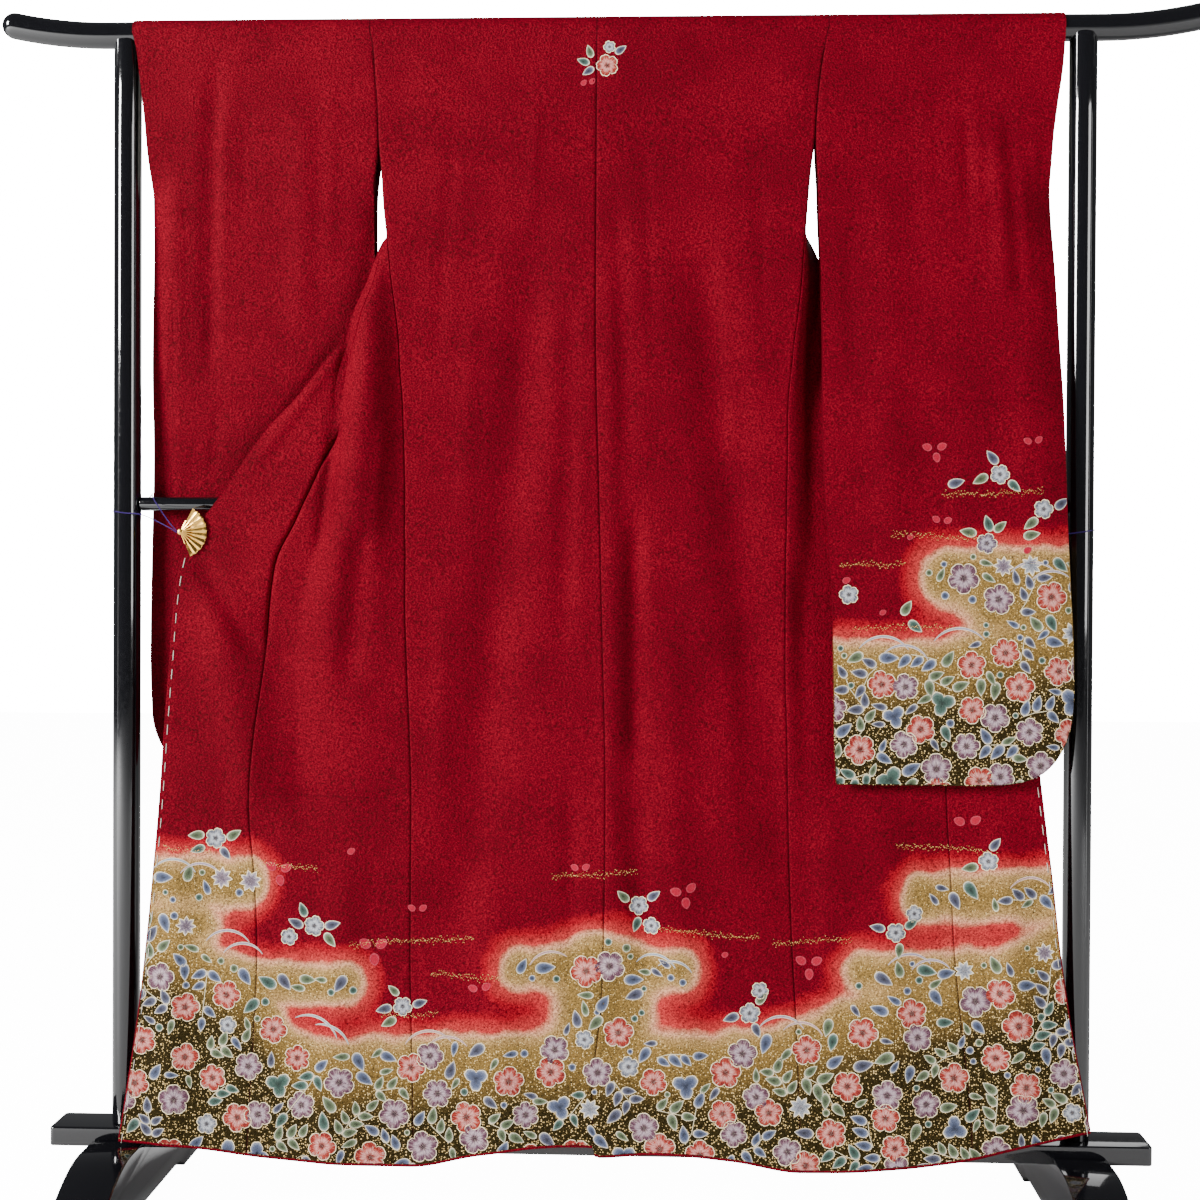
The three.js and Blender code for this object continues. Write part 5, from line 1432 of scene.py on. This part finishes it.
class KIMONO_OT_hem_pattern(bpy.types.Operator):
    """Paint the flowers, leaves, stars and arcs along the skirt"""
    bl_idname = "kimono.hem_pattern"
    bl_label = "Skirt pattern"

    def execute(self, context):
        cloth, dye = settings()[:2]
        rng = random.Random(dye.seed)
        painter = Painter(rng)
        painter.strew((-700, 715, 84, 520), skirt_mist, GROUND_PLAN)
        for x, z, size, tone, *leaves in SKIRT_POSIES:
            painter.posy(x, z, size, tone, leaves)
        for x, z in [(-432, 402), (232, 336), (80, 424), (446, 446)]:
            painter.motif("sakura", x, z, 12.5, rng.uniform(0, 6), WHITE)
        for row in SKIRT_PETALS:
            painter.petals(*row)
        for row in SKIRT_ARCS:
            painter.arc(*row, rng.choice([(138, 122, 146), (126, 134, 152), (158, 120, 128)]))
        painter.lay("skirt_pattern", skin_y, skirt_clamp, face_height(cloth, 0.3))
        return {"FINISHED"}


class KIMONO_OT_sleeve_pattern(bpy.types.Operator):
    """Paint the flowers on the right sleeve and at the back of the neck"""
    bl_idname = "kimono.sleeve_pattern"
    bl_label = "Sleeve pattern"

    def execute(self, context):
        cloth, dye = settings()[:2]
        rng = random.Random(dye.seed + 7)
        painter = Painter(rng)
        painter.strew((330, 668, 632, 960), sleeve_mist, GROUND_PLAN)
        for x, z, size, tone, *leaves in SLEEVE_POSIES:
            painter.posy(x, z, size, tone, leaves)
        painter.motifs("leaf", [(432, 872, 12, 1.0, SAGE), (444, 846, 12, 5.6, TEAL),
                                (500, 1046, 12, 0.3, SLATE), (604, 974, 12, 0.2, SAGE)])
        for row in SLEEVE_PETALS:
            painter.petals(*row)
        for row in SLEEVE_ARCS:
            painter.arc(*row, (132, 124, 146))
        lift = face_height(cloth, 0.3)
        painter.lay("sleeve_pattern", right_sleeve_y, sleeve_clamp, lift)
        crest = Painter(rng)
        for x, z, size, tone in [(11, 1634, 16, CORAL), (14, 1660, 9, WHITE)]:
            crest.motif("sakura", x, z, size, rng.uniform(0, 6.28), tone)
        crest.motifs("leaf", [(-14, 1654, 9.5, 1.9, SAGE), (-23, 1640, 9.5, 2.8, TEAL),
                              (-16, 1626, 9.5, 3.7, SLATE), (30, 1656, 9.5, 0.6, SLATE)])
        crest.motifs("petal", [(-10, 1612, 5, 0.8, PINK), (-22, 1610, 5, 0.8, PINK)])
        crest.lay("neck_pattern", skin_y, lambda x, z: (x, z), lift)
        return {"FINISHED"}


# from x to x, height, rise, 1 on the sleeve
STREAKS = [
    (-612, -545, 526, -6, 0), (-500, -392, 512, -14, 0), (-345, -170, 392, 12, 0), (-230, -110, 352, -4, 0),
    (-60, 60, 492, 8, 0), (90, 230, 420, -10, 0), (250, 360, 402, 6, 0), (420, 560, 540, -8, 0),
    (-300, -220, 292, 6, 0), (410, 536, 974, -4, 1), (358, 500, 842, 3, 1), (480, 620, 1030, 6, 1),
    (340, 430, 930, 4, 1)]


class KIMONO_OT_streaks(bpy.types.Operator):
    """Strew the thin streaks of gold leaf on the red"""
    bl_idname = "kimono.streaks"
    bl_label = "Gold streaks"

    def execute(self, context):
        lift = face_height(settings()[0], 0.35)
        paths = []
        for x0, x1, z, rise, sleeve in STREAKS:
            x = np.linspace(x0, x1, 40)
            t = np.linspace(0, 1, 40)
            level = z + rise * t + 2.2 * np.sin(4 * t + x0) * np.sin(3.1 * t)
            y = (right_sleeve_y if sleeve else skin_y)(x, level)
            paths.append(xyz(x, y - lift, level))
        tree = fleck_tree(material_of("gold_leaf"))
        settle(grown(wire("gold_streaks", paths), tree, {"Seed": 3}))
        return {"FINISHED"}


# ---- the stand ----

def swept(x):
    return RAIL_Z + RAIL_RISE * np.maximum(0, (np.abs(x) - RAIL_SWEEP) / (RAIL_HALF - RAIL_SWEEP)) ** 2


def top_rail():
    cap = [(RAIL_HALF - RAIL_R * (1 - math.cos(a)), RAIL_R * math.sin(a))
           for a in np.linspace(0.05, math.pi / 2, 10)]
    half = cap + [(x, RAIL_R) for x in np.linspace(RAIL_HALF - RAIL_R - 6, RAIL_SWEEP - 10, 24)]
    line = [(-x, r) for x, r in half] + [(x, r) for x, r in reversed(half)]
    verts, faces = lathe(line, 56)
    station, up, aside = verts[:, 2].copy(), verts[:, 0].copy(), verts[:, 1].copy()
    lean = np.arctan((swept(station + 1) - swept(station - 1)) / 2)
    return xyz(station - up * np.sin(lean), -aside, swept(station) + up * np.cos(lean)), faces


def rod(radius, length, turns=56):
    """A round rod with softened rims, along Z from 0."""
    soft = 1.2
    rim = [(0, soft), (soft * 0.3, soft * 0.3), (soft, 0)]
    line = [(a, radius - b) for a, b in rim] + [(length * k / 12, radius) for k in range(1, 12)]
    return lathe(line + [(length - a, radius - b) for a, b in reversed(rim)], turns)


def bezier(p0, p1, p2, p3, steps):
    t = np.linspace(0, 1, steps)[1:, None]
    p0, p1, p2, p3 = map(np.array, (p0, p1, p2, p3))
    return ((1 - t) ** 3 * p0 + 3 * (1 - t) ** 2 * t * p1 + 3 * (1 - t) * t * t * p2 + t ** 3 * p3).tolist()


def foot_outline():
    """The foot's side, from the middle of the notch round the front toe to the arch."""
    notch, seat = BOARD_DEPTH / 2 + GAP, BOARD_BOTTOM - GAP
    half = [(0, seat), (notch, seat), (notch, FOOT_HUMP), (FOOT_SHOULDER - 12, FOOT_HUMP)]
    half += bezier((FOOT_SHOULDER - 12, FOOT_HUMP), (FOOT_SHOULDER + 52, FOOT_HUMP - 2),
                   (FOOT_HALF - 58, FOOT_TOE + 24), (FOOT_HALF - 16, FOOT_TOE + 6), 22)
    half += bezier((FOOT_HALF - 16, FOOT_TOE + 6), (FOOT_HALF - 5, FOOT_TOE + 2), (FOOT_HALF, FOOT_TOE - 4),
                   (FOOT_HALF, FOOT_TOE - 14), 9)
    half += [(FOOT_HALF, 0), (FOOT_PAD, 0)]
    half += bezier((FOOT_PAD, 0), (FOOT_PAD - 9, 10), (FOOT_PAD - 20, FOOT_ARCH),
                   (FOOT_PAD - 44, FOOT_ARCH), 9)
    half += [(0, FOOT_ARCH)]
    return half + [(-y, z) for y, z in half[-2:0:-1]]


def rounded(half_u, half_v, r, steps):
    """A rectangle with round corners; the halves reach to the corners' centres."""
    return [(cu * half_u + r * math.cos(a), cv * half_v + r * math.sin(a))
            for cu, cv, start in ((1, 1, 0), (-1, 1, 90), (-1, -1, 180), (1, -1, 270))
            for a in np.radians(start + np.linspace(0, 90, steps))]


def prism(outline, low, high, place):
    """A straight prism of an outline; place turns (u, v, w) into (x, y, z)."""
    n = len(outline)
    verts = [place(u, v, w) for w in (low, high) for u, v in outline]
    faces = [tuple(range(n)), tuple(reversed(range(n, 2 * n)))]
    faces += [(i, i + n, (i + 1) % n + n, (i + 1) % n) for i in range(n)]
    return np.array(verts, float), faces


class KIMONO_OT_rails(bpy.types.Operator):
    """Make the top rail, the middle rail and the two posts"""
    bl_idname = "kimono.rails"
    bl_label = "Rails and posts"

    def execute(self, context):
        black = [material_of("black_lacquer")]
        verts, faces = top_rail()
        settle(new_object("rail_top", verts, faces, black), 40, ["top_rail"])
        reach = POST_X - POST_R - 0.4
        verts, faces = rod(MID_RAIL_R, 2 * reach)
        bar = xyz(verts[:, 2] - reach, verts[:, 1], MID_RAIL_Z + verts[:, 0])
        faces = [tuple(reversed(face)) for face in faces]
        settle(new_object("rail_middle", bar, faces, black), 40, ["mid_rail"])
        for name, side in SIDES.items():
            bottom = BOARD_TOP + GAP
            verts, faces = rod(POST_R, RAIL_Z - RAIL_R / 2 - bottom, 72)
            saddle = RAIL_Z - np.sqrt(np.maximum(0, (RAIL_R + GAP) ** 2 - verts[:, 1] ** 2))
            height = verts[:, 2] + bottom
            height = np.where(verts[:, 2] > 1400, np.minimum(height, saddle), height)
            stick = xyz(verts[:, 0] + side.out(POST_X), verts[:, 1], height)
            settle(new_object(f"post_{name}_lacquer", stick, faces, black), 40, [f"post_{name}"])
        return {"FINISHED"}


class KIMONO_OT_base(bpy.types.Operator):
    """Make the flat board and the two humped feet"""
    bl_idname = "kimono.base"
    bl_label = "Board and feet"

    def execute(self, context):
        black = [material_of("black_lacquer")]
        outline = rounded(BOARD_HALF - 6, BOARD_DEPTH / 2 - 6, 6.0, 7)
        verts, faces = prism(outline, BOARD_BOTTOM, BOARD_TOP, lambda u, v, w: (u, v, w))
        settle(remeshed(new_object("board", verts, faces, black), 2.0), 40, ["base_board"])
        half = FOOT_WIDTH / 2
        for name, side in SIDES.items():
            middle = side.out(POST_X)
            verts, faces = prism(foot_outline(), -half, half, lambda u, v, w: (middle + w, u, v))
            foot = remeshed(new_object(f"foot_{name}_lacquer", verts, faces, black), 2.4)
            settle(foot, 40, [f"foot_{name}"])
        return {"FINISHED"}


# ---- clips and threads ----

def clip_levels(side):
    z, s = np.meshgrid(np.arange(CLIP_Z - 34, CLIP_Z + 35, 4.0), np.arange(0.85, 1.001, 0.03))
    p = front_point(side, z, s)
    y = p[..., 1][np.abs(p[..., 0]) > CLIP_X - FAN_R]
    return y.min() - SOLID_WALL / 2 - GAP - 1.5, y.max() + SOLID_WALL / 2 + 2 * GAP + COLLAR_WALL + 1.2


def fan_leaf(side, level, leaves=9):
    """Middle points of the pleated leaf, whose edge is scalloped."""
    fold = np.abs((np.arange(leaves * 6 + 1) / 3.0) % 2 - 1)
    turn = np.radians(np.linspace(FAN_FROM, FAN_TO, len(fold)))
    rows = []
    for share in (0.42, 0.46, 0.6, 0.75, 0.88, 0.95, 1.0):
        r = FAN_R * share * (1 - 0.05 * (1 - fold) if share == 1 else 1)
        rise = (fold - 0.5) * 2.2 * min(1, share * 1.2) + (0.5 if share in (0.95, 0.46) else 0)
        rows.append(xyz(side.out(CLIP_X - r * np.cos(turn)), level - rise, CLIP_Z + r * np.sin(turn)))
    return np.array(rows)


def clip_body(name):
    """The two pieces of a clip: its pleated leaf, and ribs, knob, pin and jaw plate in one."""
    side = SIDES[name]
    x, (fan, jaw) = side.out(CLIP_X), clip_levels(side)
    gold = [material_of("gold_plate")] * 2
    leaf = cloth_shell(f"clip_{name}_fan", fan_leaf(side, fan), 0.9, 1, gold)

    def on_rib(a, far):
        return np.array([side.out(CLIP_X - far * math.cos(a)), fan - 0.4, CLIP_Z + far * math.sin(a)])

    parts = []
    for k in range(10):
        a = math.radians(FAN_FROM + (FAN_TO - FAN_FROM) * k / 9)
        start, end = on_rib(a, 2), on_rib(a, 0.47 * FAN_R)
        parts.append(tube([start, (start + end) / 2, end], [0.9, 1.1, 1.3], 8))
    knob = [(0, 1.5), (-0.2, 4.2), (-1.2, 4.5), (-2.6, 4.1), (-3.6, 2.8), (-4.0, 0.6)]
    for outline, turns, lift in ((knob, 28, 0.4), ([(0, 2.4), (jaw - fan, 2.4)], 20, 0)):
        verts, faces = lathe(outline, turns)
        parts.append((xyz(verts[:, 0] + x, verts[:, 2] + fan + lift, verts[:, 1] + CLIP_Z), faces))
    middle = side.out(CLIP_X - 8.5)
    plate = rounded(6.5, 4, 2, 5)
    parts.append(prism(plate, jaw - 0.8, jaw + 0.8, lambda u, v, w: (middle + u, w, CLIP_Z + v)))
    return leaf, remeshed(new_object(f"clip_{name}_frame", *joined(parts), gold[:1]))


def catmull(points, steps):
    points = np.array(points, float)
    ends = np.vstack([2 * points[0] - points[1], points, 2 * points[-1] - points[-2]])
    out = []
    for i in range(1, len(ends) - 2):
        p0, p1, p2, p3 = ends[i - 1:i + 3]
        for k in range(steps):
            t = k / steps
            out.append(0.5 * (2 * p1 + (p2 - p0) * t + (2 * p0 - 5 * p1 + 4 * p2 - p3) * t ** 2
                              + (3 * p1 - p0 - 3 * p2 + p3) * t ** 3))
    return np.array(out + [points[-1]])


def thread_path(name):
    side = SIDES[name]
    out, fan = side.sign, clip_levels(side)[0]
    tie = CLIP_X + 4.5 + 1.2
    level = 1000 if name == "left" else 978

    def around(degrees, z):
        a = math.radians(degrees)
        return out * (POST_X + THREAD_R * math.cos(a)), THREAD_R * math.sin(a), z

    if name == "left":
        back = [(out * 646, 5, 1028), (out * 642, -5, 1027), (out * 634, -15, 1017),
                (out * 612, fan + 6, 990)]
    else:
        back = [(out * 640, 0, 979), (out * 614, fan + 6, 975)]
    there = [(out * tie, fan, CLIP_Z - 1.2), (out * (tie + 12), fan + 1, mix(CLIP_Z, level, 0.25)),
             (out * 650, -22, level - 2)]
    loop = [around(a, level + rise) for a, rise in (
        (-95, 1), (-60, 3), (-20, 4), (20, 5), (60, 5), (100, 5), (125, 6))]
    return catmull(there + loop + back + [(out * tie, fan, CLIP_Z + 1.2)], 14)


class KIMONO_OT_clips(bpy.types.Operator):
    """Make the two gold fan clips and the threads that tie them to the posts"""
    bl_idname = "kimono.clips"
    bl_label = "Clips and threads"

    def execute(self, context):
        for name in SIDES:
            leaf, body = clip_body(name)
            settle(leaf, replaces=[f"clip_{name}"])
            settle(body, 35)
            path = thread_path(name)
            length = np.concatenate([[0], np.cumsum(np.linalg.norm(np.diff(path, axis=0), axis=1))])
            even = np.linspace(0, length[-1], int(length[-1] / 0.9))
            line = xyz(*(np.interp(even, length, path[:, i]) for i in range(3)))
            run = unit(np.gradient(line, axis=0))
            up = unit(np.cross(run, (0.3, 0.2, 1.0)))
            other = np.cross(run, up)
            plies = []
            for phase in (0, math.pi):
                a = (even * 1.5 + phase)[:, None]
                plies.append(tube(line + 0.42 * (up * np.cos(a) + other * np.sin(a)), 0.48, 6))
            thread = new_object(f"thread_{name}_plies", *joined(plies), [material_of("purple_thread")])
            settle(thread, 60, [f"thread_{name}"])
        return {"FINISHED"}


# ---- materials, stage and camera ----

class KIMONO_OT_finishes(bpy.types.Operator):
    """Make every finish that the pieces use"""
    bl_idname = "kimono.finishes"
    bl_label = "Finishes"

    def execute(self, context):
        _, dye, stand, _ = settings()
        crepe_group()
        dust_group()
        for make in (dyed_crepe, red_crepe, lining_silk):
            make(dye)
        motif_dye()
        lacquer(stand)
        plated_gold(stand)
        thread_dye("purple_thread", tuple(stand.thread))
        thread_dye("basting_thread", linear(232, 222, 206))
        leaf_gold()
        return {"FINISHED"}


def area_light(name, place, aim, size, power):
    data = bpy.data.lights.new(name, "AREA")
    data.shape, data.energy = "RECTANGLE", power
    data.size, data.size_y = size
    obj = placed_in_scene(name, data)
    obj.location = place
    obj.rotation_euler = (Vector(aim) - Vector(place)).to_track_quat("-Z", "Y").to_euler()


def studio_world():
    """White where the camera looks past everything, and a soft grey for reflections."""
    world = bpy.data.worlds.new("studio")
    world.use_nodes = True
    sky = Tree(world.node_tree)
    sky.tree.nodes.clear()
    lit, seen = (sky.add("ShaderNodeBackground", {0: colour, 1: strength}).outputs[0]
                 for colour, strength in (((0.94, 0.96, 1, 1), 0.1), ((1, 1, 1, 1), 22.0)))
    camera_ray = sky.add("ShaderNodeLightPath").outputs["Is Camera Ray"]
    both = sky.add("ShaderNodeMixShader", {0: camera_ray, 1: lit, 2: seen}).outputs[0]
    sky.add("ShaderNodeOutputWorld", {0: both})
    bpy.context.scene.world = world


def studio_floor():
    """A white floor, as bright as the backdrop where the camera sees it."""
    white = Finish("floor_white")
    shade = white.noise(white.place, 3.0, 2.0)
    camera_ray = white.add("ShaderNodeLightPath").outputs["Is Camera Ray"]
    tone = white.mixed(shade, (0.9, 0.9, 0.9, 1), (0.93, 0.93, 0.93, 1))
    glow = white.ranged(camera_ray, 0.0, 1.0, 0.0, 14.0)
    white.dress({"Base Color": tone, "Roughness": 0.7, "Emission Strength": glow})
    corners = [(9000 * u, 9000 * v, -0.5) for u, v in ((-1, -1), (1, -1), (1, 1), (-1, 1))]
    new_object("floor", corners, [(0, 1, 2, 3)], [white.material], smooth_faces=False)


def studio_camera(lens):
    data = bpy.data.cameras.new("camera")
    data.sensor_width, data.lens, data.shift_y = 36.0, lens, -0.0018
    yaw, pitch, roll = (math.radians(v) for v in (2.47, -0.65, 0.29))
    cy, sy, cp, sp, cr, sr = (f(a) for a in (yaw, pitch, roll) for f in (math.cos, math.sin))
    rolled = np.array([[cr, -sr, 0], [sr, cr, 0], [0, 0, 1]])
    pitched = np.array([[1, 0, 0], [0, cp, sp], [0, -sp, cp]])
    upright = np.array([[1, 0, 0], [0, 0, -1], [0, 1, 0]])
    turn = rolled @ pitched @ upright @ np.array([[cy, sy, 0], [-sy, cy, 0], [0, 0, 1]])
    matrix = Matrix([[turn[0][i], -turn[1][i], -turn[2][i]] for i in range(3)]).to_4x4()
    matrix.translation = (0.11147, -2.50157, 0.91148)
    camera = placed_in_scene("camera", data)
    camera.matrix_world = matrix
    bpy.context.scene.camera = camera


class KIMONO_OT_stage(bpy.types.Operator):
    """Make the floor, the lights and the camera"""
    bl_idname = "kimono.stage"
    bl_label = "Stage"

    def execute(self, context):
        studio = settings()[3]
        studio_floor()
        studio_world()
        for row in [
                ("key", (-6.2, -3.9, 3.4), (0.0, 0.0, 0.9), (1.5, 2.6), studio.key),
                ("fill", (3.6, -2.7, 1.8), (0.4, 0.0, 0.95), (1.4, 2.2), studio.fill),
                ("strip_left", (-2.6, -0.9, 1.1), (-0.68, 0.0, 0.9), (0.1, 2.2), 3.0),
                ("strip_right", (2.7, -0.7, 1.1), (0.68, 0.0, 0.9), (0.1, 2.2), 3.0),
                ("behind", (0.6, 3.2, 2.4), (0.0, 0.0, 0.9), (2.4, 1.8), 26.0)]:
            area_light(*row)
        studio_camera(studio.lens)
        return {"FINISHED"}


class KIMONO_PT_panel(bpy.types.Panel):
    """Lists the kimono's settings and its making steps"""
    bl_label = "Kimono"
    bl_idname = "KIMONO_PT_panel"
    bl_space_type = "VIEW_3D"
    bl_region_type = "UI"
    bl_category = "Kimono"

    def draw(self, context):
        for group in settings():
            box = self.layout.box()
            for key in group.bl_rna.properties.keys():
                if key not in ("rna_type", "name"):
                    box.prop(group, key)
        for step in STEPS:
            self.layout.operator(step.bl_idname)


STEPS = (
    KIMONO_OT_finishes, KIMONO_OT_stage,
    KIMONO_OT_body, KIMONO_OT_okumi, KIMONO_OT_sleeves, KIMONO_OT_collar,
    KIMONO_OT_edges, KIMONO_OT_basting,
    KIMONO_OT_hem_pattern, KIMONO_OT_sleeve_pattern, KIMONO_OT_streaks,
    KIMONO_OT_rails, KIMONO_OT_base, KIMONO_OT_clips)
GROUPS = {"kimono_cloth": ClothSettings, "kimono_dye": DyeSettings, "kimono_stand": StandSettings,
          "kimono_studio": StudioSettings}


def register():
    for cls in (*GROUPS.values(), *STEPS, KIMONO_PT_panel):
        bpy.utils.register_class(cls)
    for name, cls in GROUPS.items():
        setattr(bpy.types.Scene, name, PointerProperty(type=cls))


def unregister():
    for name in GROUPS:
        delattr(bpy.types.Scene, name)
    for cls in reversed((*GROUPS.values(), *STEPS, KIMONO_PT_panel)):
        bpy.utils.unregister_class(cls)


def main():
    register()
    for step in STEPS:
        family, name = step.bl_idname.split(".")
        getattr(getattr(bpy.ops, family), name)()


if __name__ == "__main__":
    main()
